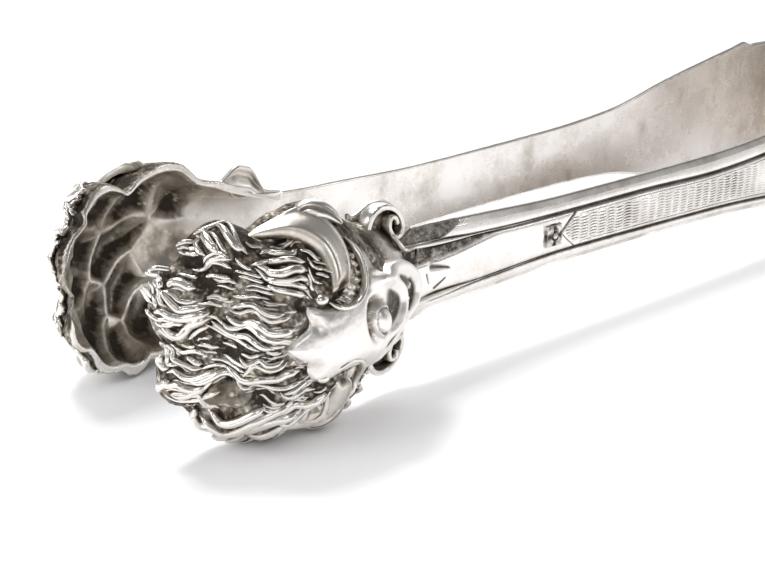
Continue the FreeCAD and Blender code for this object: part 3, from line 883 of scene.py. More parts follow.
def claw_outside(rows, columns, tight):
    """Outer skin with bosses, pits and the relief of the neck."""
    base, station, _ = claw_skin(rows, columns, inner=False)
    x, z = base[..., 0], base[..., 2]
    normal = skin_normals(base)
    boss, _ = cell_field(base)
    fade = rise(station, 29.0, 24.0)
    grit = noise(base, 2.3) * 0.085 + noise(base + 7.0, 4.1) * 0.06
    rough = noise(base, 0.8) * 0.10 + grit
    tarnish = np.clip(0.80 + 0.35 * noise(base, 0.6) - 1.6 * grit, 0.25, 1) * fade
    dome = from_boss(x, z) < 2.6
    rough = np.where(dome, rough * 0.25, rough)
    for centre_x, centre_z, radius in POCKETS:
        gap = (x - centre_x) ** 2 + (z - centre_z) ** 2
        tarnish = tarnish + 0.45 * np.exp(-gap / (0.8 * radius * radius)) * fade
    tarnish = np.where(dome, 0.74 + 0.2 * noise(base, 0.9), tarnish)
    neck_height, neck_tarnish = neck_relief(x, z)
    neck = rise(station, 31.0, 32.5)
    height = (ground(base, boss) + rough) * fade + neck_height * neck
    skin = base + normal * height[..., None]
    skin[..., 0], skin[..., 2] = lobe_warp(skin[..., 0], skin[..., 2], tight)
    return skin, clamp(tarnish + neck_tarnish * neck)


def claw_inside(rows, columns, tight):
    """Inner skin, hollowed behind every boss and darkest in the hollows; its hollow walls carry
    painted shade and light by how they tilt.
    """
    skin, station, angle = claw_skin(rows, columns, inner=True)
    normal = skin_normals(skin)
    boss, hollow = cell_field(skin + np.array([0, 0.9, 0]))
    cap = ground(skin + np.array([0, 0.9, 0]), boss, applied=False) - 0.22
    # soft minimum, so that the hollow never breaks through the outer skin
    sink = -0.22 * np.logaddexp(-1.75 * hollow / 0.22, -cap / 0.22)
    fade = rise(station, 29.0, 24.0)
    inside = rise(np.abs(angle), math.pi / 2, math.pi / 2 - 0.10) * rise(station, 0, 0.5)
    # painted shade and light: the walls of each hollow are made darker or lighter by how they
    # tilt, up and down and along the claw
    dented = skin_normals(skin + normal * (sink * fade * inside)[..., None])
    dented = dented * np.sign((dented * normal).sum(-1, keepdims=True))
    tilt = dented - normal
    facing = np.clip(tilt[..., 2] * 1.6, -1, 1) + 0.5 * np.clip(tilt[..., 0] * -1.6, -1, 1)
    height = sink + 0.06 * noise(skin, 0.7) + 0.008 * noise(skin, 1.7)
    skin = skin + normal * (height * fade * inside)[..., None]
    skin[..., 0], skin[..., 2] = lobe_warp(skin[..., 0], skin[..., 2], 0.15 + tight)
    fine = 0.5 * noise(skin, 1.1) + 0.35 * noise(skin + 3.0, 1.9)
    tarnish = 0.62 * rise(hollow, 0, 1) * (0.80 + 0.45 * noise(skin, 0.45))
    # painted shade: the tilt term darkens or lightens each wall; the fine term is mottled
    # tarnish
    tarnish = (tarnish + 0.22 * fine - 0.40 * facing) * fade
    tarnish = tarnish + (0.40 * rise(station, 34.0, 26.0) * rise(station, 1.0, 4.0)
                         * (0.85 + 0.35 * noise(skin, 0.23)) * inside)
    return skin, clamp(tarnish), station[:, 0]


def make_claw(arm):
    rear = SIDES[arm] > 0
    rows, columns = ((340, 260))
    mesh = Mesh()
    # the rear rim stands a little further in at the tips
    _, station, _ = claw_skin(rows, columns, inner=False)
    tight = 0.55 * rise(station, 9.0, 3.0) if rear else 0.0
    outer, outer_tarnish = claw_outside(rows, columns, tight)
    inner, inner_tarnish, stations = claw_inside(rows, columns, tight)

    def bead(start, end):
        """Three columns that round the rim between the skins."""
        bulge = -0.16 * rise(stations, 29.0, 24.0)
        rim = []
        for share in (0.25, 0.5, 0.75):
            column = start * (1 - share) + end * share
            column[:, 1] += math.sin(math.pi * share) * bulge
            rim.append(column)
        return np.stack(rim, 1)

    ring = np.concatenate([outer, bead(outer[:, -1], inner[:, -1]),
                           inner[:, ::-1], bead(inner[:, 0], outer[:, 0])], 1)
    clean = np.zeros((rows, 3))
    # the inner skin's values hold painted shade by tilt as well as tarnish
    tarnish = np.concatenate([outer_tarnish, clean, inner_tarnish[:, ::-1], clean], 1)
    # rings start inside the lower bead, so that the two halves face each other at the caps
    ring = np.roll(ring, 1, axis=1)
    tarnish = np.roll(tarnish, 1, axis=1)
    # a last narrow band of faces keeps the shading straight up to the stem
    tail = ring[-1:].copy()
    ring[-1, :, 0] -= 0.02
    mesh.slab(np.concatenate([ring, tail]), np.concatenate([tarnish, tarnish[-1:]]))
    for width, height, path in LOCKS + LOW_LOCKS + RIM_LOCKS:
        if rear:
            # the locks of the rear claw stay closer inside its rim
            x, z = path.T
            x = np.where(x > 3.6, x, 3.6 - (3.6 - x) * 0.45)
            path = np.stack([x, np.clip(z, -11.2, 10.8)], -1)
        add_lock(mesh, path, width * 1.42, height)
    for width, height, path in filler_locks(np.random.RandomState(7)):
        add_lock(mesh, path, width, height, segments=14, around=8, lift=-0.06, tip=0.0,
                 tarnish=0.50)
    attach(mesh, arm, "claw", "shell", CAST)


# ------------------------------------------------------------------ cartouche leaf
LEAF_OUTLINE = points("""
    9.5,-0.4 10,0.3 10.9,0.9 11.8,1.6 12,2.3 11.8,3.1 12,3.8 12.9,3.4 14.4,3.2 16.4,3.3
    18.1,3.6 19.3,4.3 20,5.6 20.2,6.9 20.3,8.1 21.1,7.1 21.5,6 22.1,5.2 23.3,5.7 25.9,5.3
    28.8,4.1 31.1,2.7 33.2,1.2 33.7,-0.2 33,-1.9 31.1,-3.2 28.8,-4.4 25.9,-5.5 23.3,-5.9
    22.1,-5.4 21.5,-6.2 21.1,-7.2 20.3,-8 20.1,-6.9 19.8,-5.6 19,-4.6 17.6,-4.2 15.8,-4.3
    14.1,-4.7 12.6,-4.5 11.8,-3.4 11.6,-2.5 10.5,-1.7 9.8,-1.1""")
CABOCHON = np.array([21.1, 0.35])   # x, z; also the centre of the leaf's rings
CREST = points("""21.9,4.9 22.9,5 24.6,4.9 27.1,4.2 29.6,2.9 31.2,1.3 31.4,-0.4 30,-1.9
    27.6,-3.2 25.2,-4.2 23,-4.7 21.8,-4.9""")
COLLAR = points("""19.8,5 20.9,4.7 22.4,4.3 24.1,3.5 25.7,2.2 26.1,0.9 25.5,-0.4 24.2,-1.4
    22.6,-2.2 21,-2.7""")
LEAF_FOLD = points("12,1.9 13.4,1.4 15.2,1.6 17.2,2.2")
DIMPLES = [(12.7, 2.0, 0.75, 0.40), (12.5, -2.9, 0.8, 0.35)]             # x, z, radius, depth
CUSPS = [(28.7, 1.6, 27.3, 1.1), (28.0, 0.3, 26.8, 0.5), (27.6, -1.6, 26.6, -0.9)]  # x, z, x, z


def cabochon_relief(x, z, base, height, tarnish):
    """Oval stone on the leaf, with the recess and the thin ring round it."""
    cos, sin = math.cos(0.35), math.sin(0.35)
    off_x, off_z = x - CABOCHON[0], z - CABOCHON[1]
    oval_x = (off_x * cos + off_z * sin) / 1.12
    oval_z = (-off_x * sin + off_z * cos) / 1.52
    radius = np.hypot(oval_x, oval_z)
    facing = np.cos(np.arctan2(oval_z, oval_x) - 2.5)
    moat = bell((radius - 1.62) / 0.38) * (0.03 + 0.97 * rise(facing, -0.25, 0.90))
    height = height - 0.85 * moat + 0.34 * bell((radius - 1.12) / 0.14)
    dome = 0.75 + 1.05 * clamp(1 - radius ** 2) ** 0.55
    height = np.where(radius < 1.05, np.maximum(height, dome), height)
    tarnish = tarnish + 0.95 * moat * (1 + 0.3 * noise(base, 1.4))
    tarnish = np.where(radius < 1.0, 0.05, tarnish)
    return height, tarnish + 0.75 * bell((radius - 1.0) / 0.07)


def leaf_relief(x, z, edge_gap, base):
    """Height and tarnish of the leaf; edge_gap is the distance from its outline."""
    edge = 1 - (1 - clamp(edge_gap / 0.5)) ** 2
    height = 0.30 + 0.75 * (1 - np.exp(-edge_gap / 1.3))
    tarnish = 0.45 * rise(edge_gap, 0.35, 0) + 0.05 * noise(base, 0.5)
    for centre_x, centre_z, radius, depth in DIMPLES:
        dimple = np.exp(-((x - centre_x) ** 2 + (z - centre_z) ** 2) / radius ** 2)
        height = height - depth * dimple
        tarnish = tarnish + 0.32 * dimple
    fold, along = to_curve(x, z, LEAF_FOLD)
    height = height - 0.16 * bell(fold / 0.55) * (1 - along)
    # shell on the neck side: outer crest, sunk channel with cusps, collar
    shell = rise(x - 0.25 * np.abs(z), 20.6, 22.8)
    crest, crest_along = to_curve(x, z, CREST)
    collar, collar_along = to_curve(x, z, COLLAR)
    height = height * (1 - shell) + shell * 0.30 * edge
    ends = rise(crest_along, 0, 0.10) * rise(crest_along, 1, 0.90)
    lower = 1 - 0.60 * rise(z, -0.5, -3.0)
    height = height + 1.05 * bell(crest / 0.85, 2.4) * (0.35 + 0.65 * ends) * lower
    height = height + (0.95 * bell(collar / 0.75) * rise(collar_along, -0.045, 0.105)
                       * rise(collar_along, 1.035, 0.685))
    channel = shell * rise(crest, 0.75, 1.15) * rise(collar, 0.65, 1.05)
    tarnish = tarnish + 0.95 * channel + 0.5 * shell * rise(crest, 0.55, 0.85) * (x > 29)
    for cusp in CUSPS:
        gap, along = to_segment(x, z, *cusp)
        height = height + 0.55 * bell(gap / (0.34 * (1 - 0.6 * along))) * (1 - 0.5 * along)
        tarnish = tarnish - 0.6 * bell(gap / 0.3)
    # the points above and below are troughs between two edges
    wing = rise(np.abs(z), 4.6, 5.8) * rise(x, 22.6, 21.6) * rise(x, 18.6, 19.4)
    height = height - 0.35 * wing * rise(edge_gap, 0, 0.6)
    height, tarnish = cabochon_relief(x, z, base, height, tarnish + 0.45 * wing)
    height = np.maximum(height, 0.10) + 0.018 * noise(base, 1.6) + 0.012 * noise(base, 4.0)
    return height * edge, clamp(tarnish)


def make_cartouche(arm):
    mesh = Mesh()
    rows, columns = ((120, 520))
    closed = np.vstack([LEAF_OUTLINE, LEAF_OUTLINE[:1]])
    outline = resample(closed, columns + 1)[:-1]
    share = 1 - (1 - np.linspace(0.0, 1, rows)) ** 1.5
    share[0] = 0.01
    grid = CABOCHON + (outline - CABOCHON)[None] * share[:, None, None]
    x, z = grid[..., 0], grid[..., 1]
    edge_gap, _ = to_curve(x, z, closed, 300)
    edge_gap[-1] = 0.0
    base, normal = smooth_skin(x, z)
    height, tarnish = leaf_relief(x, z, edge_gap, base)
    top = height + 0.28
    upper = base + normal * top[..., None]
    under = base + normal * under_skin(base, -0.25, top)[..., None]
    rim = upper[-1] * 0.5 + under[-1] * 0.5
    rings = np.concatenate([upper, rim[None], under[::-1]])
    tarnish = np.concatenate([tarnish, np.full((rows + 1, columns), 0.9)])
    mesh.tube(rings[:, ::-1], tarnish[:, ::-1], ends=(0.0, 0.9))
    attach(mesh, arm, "cartouche", "leaf", BURNISHED)


# ------------------------------------------------------------------ scrolls
# All in x,z above mid height; the lower ornaments are their mirror image.
SCROLL_OUTER = points("""8.9,10.75 10.4,11.2 11.9,11.5 13.4,11.7 14.9,11.9 16.3,11.9 17.2,11.5
    17.8,10.6 18.1,9.4 18.1,8.1 17.8,6.8 17.3,5.7 16.8,4.8""")
SCROLL_INNER = points("""8.8,10.6 10.3,10.55 11.4,10.45 12.5,10.25 13.4,9.9 14,9.5 14.5,9
    14.9,8.4 15,7.7 15,6.9 14.9,6.1 14.8,5.4 14.7,4.6""")
CHANNEL_LEFT = points("18.9,8.5 18.3,7.4 17.8,6.3 17.2,5.3 16.6,4.6 15.9,4.1 15.2,3.9")
CHANNEL_RIGHT = points("19.4,8.2 19.6,7 19.6,5.9 19.3,4.7 18.5,3.7 17.3,3.2 15.9,3.2")
LOOP_THREAD = points("""18.7,9.2 19.1,8.3 19.5,7.3 19.6,6.2 19.4,4.9 18.7,3.8 17.6,3.1
    16.2,2.95 15,3.3 14.2,3.9""")
SHOULDER_BUD = points("15,11.6 16.1,11.7 17.3,11.5 18.5,11 19.5,10.2")


def add_strip(mesh, start, end, mirror, relief, length, width):
    """Raised band between two curves; relief gives its height and tarnish."""
    across = np.linspace(0, 1, width)
    start, end = resample(start, length), resample(end, length)
    grid = start[:, None] * (1 - across)[:, None] + end[:, None] * across[:, None]
    along, across = np.meshgrid(np.linspace(0, 1, length), across, indexing="ij")
    base, normal = smooth_skin(grid[..., 0], grid[..., 1] * mirror)
    top, tarnish = relief(along, across, base)
    mesh.plate(base + normal * top[..., None],
               base + normal * under_skin(base, -0.3, top)[..., None], tarnish)


def scroll_relief(along, across, base):
    """Sharp crest at the inner edge, a long slope to the outer one, a pit at the foot."""
    def foot(length):
        return np.exp(-(((along - 0.965) / length) ** 2 + ((across - 0.50) / 0.34) ** 2))

    ends = clamp(along / 0.10) ** 0.7 * clamp((1 - along) / 0.04) ** 0.5
    crest = np.where(across < 0.28, np.sin(clamp(across / 0.28) * math.pi / 2) ** 0.75,
                     1 - 0.30 * rise(across, 0.28, 0.94))
    edge = clamp((1 - across) / 0.07) ** 0.5
    lip = 0.22 * bell((across - 0.90) / 0.06) * rise(along, 0.25, 0.45)
    size = 0.40 + 0.80 * rise(along, 0, 0.50)
    height = 0.10 + (size * crest + lip - 0.50 * foot(0.045)) * ends * edge
    tarnish = (0.10 + 0.30 * rise(across, 0.45, 0.75) * (0.6 + 0.6 * noise(base, 0.5))
               + 0.95 * foot(0.05) + 0.6 * rise(across, 0.05, 0) + 0.5 * rise(across, 0.96, 1))
    return height, tarnish


def channel_relief(along, across, base):
    """Chased floor of the channel beside the scroll."""
    grain = noise(base, 2.6)
    height = (0.34 + 0.13 * grain + 0.06 * noise(base, 5.0)
              + 0.10 * np.sin(along * 55 + 3 * across))
    return height, 0.62 + 0.5 * grain - 0.35 * bell((across - 0.5) / 0.2)


def make_scroll(arm, level, mirror):
    mesh = Mesh()
    # the scrolls of the rear arm are drawn in towards mid height at the tip
    draw = 1.5 if SIDES[arm] > 0 else 0.0

    def drawn(path):
        x, z = path.T
        return np.stack([x, z - draw * rise(x, 15.0, 11.0)], -1)

    add_strip(mesh, drawn(SCROLL_INNER), drawn(SCROLL_OUTER), mirror, scroll_relief, 130, 40)
    add_strip(mesh, CHANNEL_LEFT, CHANNEL_RIGHT, mirror, channel_relief, 70, 16)
    # raised thread that closes the channel in a loop
    x, z = resample(LOOP_THREAD, 110).T
    base, normal = smooth_skin(x, mirror * z)
    along = np.linspace(0, 1, 110)
    taper = np.clip(np.minimum(along, 1 - along) / 0.10, 0.2, 1) ** 0.7
    ribbon(mesh, base + normal * 0.62, normal, 0.30 * taper, 0.62 * taper, around=16)
    # eye shaped bud at the shoulder of the scroll
    x, z = resample(SHOULDER_BUD, 70).T
    base, normal = smooth_skin(x, mirror * (z - 0.9 * draw))
    taper = np.sin(np.pi * (np.linspace(0, 1, 70) * 0.96 + 0.02)) ** 0.75
    normal = unit(normal + np.array([0, 0.25, mirror * 0.55]))
    ribbon(mesh, base + normal * (0.50 + 0.40 * taper)[:, None], normal, 1.25 * taper, taper,
           around=44, groove=0.60, keel=-0.48 * mirror)
    # small bead between the foot of the scroll and the leaf
    polar = np.linspace(0, math.pi, 13)[1:-1, None]
    angle = turn(26)
    bead = np.stack([0.85 * np.sin(polar) * np.cos(angle), 0.70 * np.cos(polar) + 0 * angle,
                     0.62 * np.sin(polar) * np.sin(angle)], -1)
    base, normal = smooth_skin(13.6, 4.3 * mirror)
    mesh.tube(bead + base + normal * 0.35, 0.1)
    attach(mesh, arm, f"{level}_scroll", "band", SCROLLWORK)


# ------------------------------------------------------------------ volutes
COIL = points("""25.9,6.4 25.6,7.6 25.9,9 26.7,10 28.1,10.5 29.7,10.3 31.1,9.5 32,8.3
    32.2,7.1 31.6,6.2 30.5,6.2 29.6,7.1 29.3,8.2 29.7,9 30.5,8.8 30.9,8""")
COIL_CENTRE = (28.9, 8.0)
COIL_SIZE = {"front": 0.88, "rear": 0.68}
COIL_PLACE = {"front": (29.0, 7.9), "rear": (30.5, 7.0)}
STEM_THREAD = points("""29.3,7.5 29.9,6.2 30.9,5.1 32.4,4.3 34.3,3.8 37,3.5 39.9,3.35 43,3.2
    47,3.1""")


def add_coil(mesh, arm, mirror):
    """Broad ribbon that rolls over and coils in."""
    along = np.linspace(0, 1, 200)
    rear = SIDES[arm] > 0
    path = ((COIL[2:] if rear else COIL) - COIL_CENTRE) * COIL_SIZE[arm] + COIL_PLACE[arm]
    x, z = resample(path, 200).T
    y = 14.2 + 0.45 * along + 0.20 * np.sin(along * 9)
    half_width = 0.50 * np.clip(along / 0.06, 0.5, 1) * (1 - 0.35 * along)
    half_height = 1.15 * np.clip(along / 0.10, 0.6, 1) * (1 - 0.30 * along)
    if rear:
        # the rear roll rises out of the rim in a fine point
        z = z - 0.9 * rise(along, 0.16, 0)
        point = np.clip(along / 0.20, 0.08, 1)
        half_width = half_width * point
        half_height = half_height * point
    ribbon(mesh, np.stack([x, y, mirror * z], -1), np.array([0.0, 1.0, 0.0]),
           half_width, half_height, around=28, groove=0.16)


def add_ear(mesh, arm, mirror):
    """Ear of the wall behind the roll, which spreads from the rim with a fillet."""
    stations = np.linspace(25.0, 35.6, 46)
    half = HALF_WIDTH(stations)
    if SIDES[arm] < 0:
        edge = FRONT_EAR_Z(stations)
        tuck = 0.0
    else:
        edge = half + 2.75 * rise(stations, 26.2, 29.8) * rise(stations, 33.6, 31.2)
        tuck = 0.95 * rise(stations, 27.6, 25.0)
    across = np.linspace(0, 1, 18)
    z = ((half - 1.1)[:, None] * (1 - across)
         + (np.maximum(edge, half + 0.05) - tuck)[:, None] * across)
    wide = clamp((edge - half) / 2.0)[:, None]
    fillet = 0.75 * rise(across, 0.25, 0.70) - 0.75 * rise(across, 0.72, 1.0)
    y = (RIM_Y(stations) - 0.02)[:, None] + fillet * wide
    x = stations[:, None] + 0 * y
    inner = np.stack([x, y, mirror * z], -1)
    outer = np.stack([x, y + 0.9, mirror * z], -1)
    lip = np.stack([x[:, -1:], y[:, -1:] + 0.45, mirror * (z[:, -1:] + 0.22)], -1)
    tarnish = np.concatenate([0.30 * wide * bell((across - 0.6) / 0.2) + 0.12,
                              np.zeros((46, 1)), np.full(y.shape, 0.5)], 1)
    mesh.slab(np.concatenate([inner, lip, outer[:, ::-1]], 1), tarnish)


def add_web(mesh, arm, mirror):
    """Web that fills the inside of the roll, sunk below its edge."""
    angle = turn(60)
    share = np.linspace(0.04, 1.0, 14)[:, None]
    scale = COIL_SIZE[arm] / COIL_SIZE["front"]
    x = COIL_PLACE[arm][0] - 0.1 + 2.6 * scale * signed_power(np.cos(angle), 0.9) * share
    z = COIL_PLACE[arm][1] + 0.1 + 1.9 * scale * np.sin(angle) * share
    web = np.stack([x, 13.85 + 0.35 * (1 - share * share) + 0 * x, mirror * z], -1)
    web[..., 1] += 0.20 * noise(web, 1.7)
    back = web.copy()
    back[..., 1] = 13.2
    # the lower web is mirrored, so its rings run the other way
    mesh.tube(np.concatenate([web, back[::-1]])[:, ::mirror], 0.72)


def add_stem_thread(mesh, mirror):
    """Thread that leaves the coil and runs on along the edge of the stem."""
    x, z = resample(STEM_THREAD, 120).T
    half = HALF_WIDTH(x)
    on_stem = SHEET_Y(x) + SHEET / 2 + 0.7 * (1 - (z / half) ** 2)
    on_claw = np.maximum(base_y(x, np.minimum(z, half * 0.9)), 13.4)
    y = np.where(x < CLAW_END, on_claw, on_stem) + 0.10 + 0.5 * rise(x, 31.5, 30.0)
    along = np.linspace(0, 1, 120)
    taper = np.clip(np.minimum(along / 0.06, (1 - along) / 0.35), 0.15, 1)
    ribbon(mesh, np.stack([x, y, mirror * z], -1), np.array([0.0, 1.0, 0.15 * mirror]),
           0.25 * taper, 0.42 * taper, around=14)


def make_volute(arm, level, mirror):
    mesh = Mesh()
    add_coil(mesh, arm, mirror)
    add_ear(mesh, arm, mirror)
    add_web(mesh, arm, mirror)
    add_stem_thread(mesh, mirror)
    attach(mesh, arm, f"{level}_volute", "coil", SCROLLWORK)


# ------------------------------------------------------------------ rosette
ROSETTE_X, ROSETTE_HALF = 61.2, 1.62


def make_rosette(arm):
    """Square flower with four petals on the stem."""
    mesh = Mesh()
    side = np.linspace(-1, 1, 91)
    across_x, across_z = np.meshgrid(side, side, indexing="ij")
    square = np.maximum(np.abs(across_x), np.abs(across_z))
    radius = np.hypot(across_x, across_z)
    petal = 0.5 + 0.5 * np.cos(4 * np.arctan2(across_z, across_x) - math.pi)
    gap = (1 - petal) ** 2
    height = 0.50 * rise(square, 1.0, 0.88) - 0.26 * bell((radius - 0.36) / 0.08)
    height = height - 0.22 * gap * rise(radius, 0.30, 0.55) * rise(square, 1.0, 0.8)
    height = (height + 0.22 * clamp(1 - (radius / 0.30) ** 2) ** 0.5
              + 0.06 * petal * np.cos(radius * 14))
    draw = 1 - 0.05 * (across_x * across_z) ** 2   # corners drawn slightly in
    x = ROSETTE_X + ROSETTE_HALF * across_x * draw
    z = ROSETTE_HALF * across_z * draw
    y = SHEET_Y(x) + SHEET / 2 + camber(x) * (1 - (z / HALF_WIDTH(x)) ** 2)
    top = np.stack([x, y + height - 0.02, z], -1)
    tarnish = (0.9 * bell((radius - 0.36) / 0.10) + 0.8 * gap * rise(radius, 0.3, 0.5)
               + 0.42 + 0.25 * noise(top, 2.4))
    mesh.plate(top, np.stack([x, y - 0.35, z], -1), tarnish)
    attach(mesh, arm, "rosette", "flower", BURNISHED)


# ------------------------------------------------------------------ stems
# Short engraved marks: start x, z, end x, z, width.
MARKS = [
    (38.4, 0.50, 41.4, -0.20, 0.40), (38.9, -2.4, 40.8, -1.4, 0.07),
    (37.6, -0.4, 37.9, -1.5, 0.12), (118.6, 1.6, 119.6, 0.9, 0.06),
]
WAVE_START, WAVE_COLUMN = 65.0, 1.95   # x and length of the columns of wavy lines
WAVE_PITCH = 0.42                      # spacing of the wavy lines in z


def edge_relief(x, edge, groove):
    """Grooves, threads and bevels along both edges; edge is the distance from the edge."""
    ends = rise(x, 37.0, 39.0) * rise(x, 163.0, 160.0)
    neck = rise(x, 47.0, 39.0)
    off = edge - groove
    # bold groove, with a hair thread standing in it near the neck
    cut = bell(off / (0.25 + 0.22 * neck), 4)
    hair = bell(off / 0.055) * rise(x, 62.0, 52.0)
    cut = cut + 0.45 * bell(off / (0.42 + 0.2 * neck)) * (1 - cut)
    height = -(0.30 * cut - 0.20 * hair) * ends
    tarnish = (cut - 0.55 * hair) * ends
    # raised thread and fine line just inside each groove
    thread = bell((off - 0.50) / 0.13) * rise(x, 64.0, 67.0) * rise(x, 163.0, 160.0)
    line = bell((off - 0.74) / 0.06) * rise(x, 66.5, 68.5) * rise(x, 150.0, 147.0)
    height += 0.07 * thread - 0.09 * line
    tarnish += 0.75 * line
    # worn bevel down both edges
    height -= 0.50 * clamp(1 - edge / 0.80) * rise(x, 36.0, 40.0) * rise(x, 165.5, 161.5)
    worn = 0.42 * rise(edge, 0.84, 0.78) * (0.85 + 0.25 * noise(flat(x, 0 * x), 0.21))
    tarnish += (worn + 0.35 * bell((edge - 0.84) / 0.07)) * rise(x, 44.0, 47.0)
    return height, tarnish


def panel_relief(x, z, width, groove):
    """Panel behind the rosette: its pointed head and its ground of fine wavy lines."""
    place = flat(x, z)
    share = z / np.maximum(width - groove - 0.25, 0.5)
    head = 63.2 + 3.0 * np.abs(share) ** 1.3
    line = bell((x - head) / np.where(z > 0, 0.24, 0.14)) * (np.abs(share) < 1.0)
    line = line * rise(x, 37.0, 39.0) * rise(x, 163.0, 160.0)
    share = z / np.maximum(width - groove - 0.95, 0.5)
    panel = (rise(x - head, 0.5, 0.75) * rise(x, 150.0, 147.0)
             * rise(np.abs(share), 1.0, 0.94))
    # the lines change phase and bend from column to column
    column = np.floor((x - WAVE_START) / WAVE_COLUMN)
    part = (x - WAVE_START) / WAVE_COLUMN - column
    even = np.mod(column, 2) < 1
    bend = 1.1 * (4 * (part - 0.5) ** 2 - 0.3) * np.where(even, 1, -1)
    waves = np.sin(z * 2 * math.pi / WAVE_PITCH + bend + np.where(even, 0.0, math.pi)
                   + 0.5 * noise(place, 0.7))
    strength = (panel * (1 - 0.60 * rise(x, 100, 125)) * (0.80 + 0.45 * noise(place, 0.22))
                * (0.45 + 0.55 * bell((part - 0.5) / 0.33, 4)))
    height = -0.16 * line + 0.050 * waves * strength
    return height, 0.95 * line + clamp(-waves + 0.1) * 0.80 * strength + 0.06 * panel


def stem_relief(x, z, width):
    """Height and tarnish of the outer face of a stem."""
    groove = np.where(z > 0, UPPER_GROOVE(x), LOWER_GROOVE(x))
    parts = [edge_relief(x, width - np.abs(z), groove), panel_relief(x, z, width, groove),
             neck_relief(x, z)]
    height = sum(part[0] for part in parts)
    tarnish = sum(part[1] for part in parts)
    for *segment, thick in MARKS:
        gap, along = to_segment(x, z, *segment)
        mark = bell(gap / (thick * (1 - 0.8 * along) + 0.05))
        height = height - 0.22 * mark
        tarnish = tarnish + 0.95 * mark
    # a few light stains
    return height, clamp(tarnish + 0.10 * rise(noise(flat(x, z), 0.35), 0.25, 0.75))


def make_stem(arm):
    mesh = Mesh()
    stations = np.concatenate([np.linspace(CLAW_END, 130, 760)[:-1],
                               np.linspace(130, BOW_START, 200)])
    outer_columns, inner_columns = 190, 46
    # narrow first and last bands of faces keep the shading straight up to the ends
    first, last = stations[0], stations[-1]
    stations = np.concatenate([[first, first + 0.02], stations[1:-1], [last - 0.02, last]])

    def face(across, inset, offset):
        x, across = np.meshgrid(stations, across, indexing="ij")
        width = HALF_WIDTH(x)
        z = across * (width - inset)
        return x, SHEET_Y(x) + offset + camber(x) * (1 - (z / width) ** 2), z, width

    x, y, z, width = face(np.linspace(-1, 1, outer_columns), 0.16, SHEET / 2)
    height, outer_tarnish = stem_relief(x, z, width)
    outer = np.stack([x, y + height, z], -1)
    x, y, z, _ = face(np.linspace(1, -1, inner_columns), 0.22, -SHEET / 2)
    inner = np.stack([x, y + noise(flat(x, z), 0.12) * 0.05, z], -1)
    inner_tarnish = clamp(0.12 + 0.22 * noise(flat(x, z), 0.25) + 0.25 * rise(x, 46, 36))
    edge_tarnish = np.tile([[0.80, 0.30, 0.80]], (len(stations), 1))
    tarnish = np.concatenate([outer_tarnish, edge_tarnish, inner_tarnish, edge_tarnish], 1)
    mesh.tube(sheet_ring(outer, inner, HALF_WIDTH(stations), near=0.22), tarnish,
              ends=(0.3, 0.3))
    attach(mesh, arm, "stem", "band", WORN_BAND)


# ------------------------------------------------------------------ bow
BOW_THREADS = [(1.48, 0.24), (1.94, 0.28)]   # distance from the edge, depth


def make_bow(arm):
    """Half of the bow: a short straight, then a quarter circle to the mid plane."""
    mesh = Mesh()
    radius = float(SHEET_Y(BOW_START))
    straight = np.linspace(BOW_START, BOW_CURVE, 14)[:-1]
    angle = np.linspace(math.pi / 2, 0, 90)
    arc = np.stack([np.cos(angle), np.sin(angle)], 1)
    centre = np.concatenate([np.stack([straight, np.full(len(straight), radius)], 1),
                             np.array([BOW_CURVE, 0.0]) + radius * arc])
    normal = np.concatenate([np.tile([[0.0, 1.0]], (len(straight), 1)), arc])
    z = np.tile(np.linspace(-1, 1, 120) * (BOW_HALF_WIDTH - 0.16), (len(centre), 1))
    edge = BOW_HALF_WIDTH - np.abs(z)
    steps = np.linalg.norm(np.diff(centre, axis=0), axis=1)
    fade = rise(np.concatenate([[0], np.cumsum(steps)]), 1.0, 3.0)[:, None]
    height, tarnish = 0.0, 0.0
    for place, depth in BOW_THREADS:
        line = bell((edge - place) / 0.13) * fade
        height = height - depth * line
        tarnish = tarnish + line

    def face(offset, z):
        plan = centre[:, None] + normal[:, None] * offset[..., None]
        return np.stack([plan[..., 0], plan[..., 1], z], -1)

    inner_z = -z[:, ::3]
    ring = sheet_ring(face(SHEET / 2 + height, z),
                      face(np.full(inner_z.shape, -SHEET / 2), inner_z),
                      BOW_HALF_WIDTH, near=0.2)
    edge_tarnish = np.full((len(centre), 3), 0.4)
    tarnish = np.concatenate([clamp(tarnish), edge_tarnish, np.full(inner_z.shape, 0.15),
                              edge_tarnish], 1)
    # narrow first and last bands of faces keep the shading straight up to the ends
    near_first = ring[:1] * 0.97 + ring[1:2] * 0.03
    near_last = ring[-1:] * 0.97 + ring[-2:-1] * 0.03
    ring = np.concatenate([ring[:1], near_first, ring[1:-1], near_last, ring[-1:]])
    tarnish = np.concatenate([tarnish[:1], tarnish, tarnish[-1:]])
    mesh.tube(ring, tarnish, ends=(0.3, 0.3))
    side = SIDES[arm]
    item = mesh.build(f"{arm}_bow_half", side, WORN_BAND)
    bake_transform(item)
    return item


# ------------------------------------------------------------------ the tongs
for arm in SIDES:
    make_claw(arm)
    make_cartouche(arm)
    for level, mirror in (("upper", 1), ("lower", -1)):
        make_scroll(arm, level, mirror)
        make_volute(arm, level, mirror)
    make_rosette(arm)
    make_stem(arm)
for bow in [make_bow(arm) for arm in SIDES]:
    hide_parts("spring_bow")

# ------------------------------------------------------------------ studio, in metres
scene = bpy.context.scene
FLOOR_HALF = 2.5
TARGET = Vector(to_frame([43.32, 0.0, -6.65], 1))   # the camera and the lights aim here


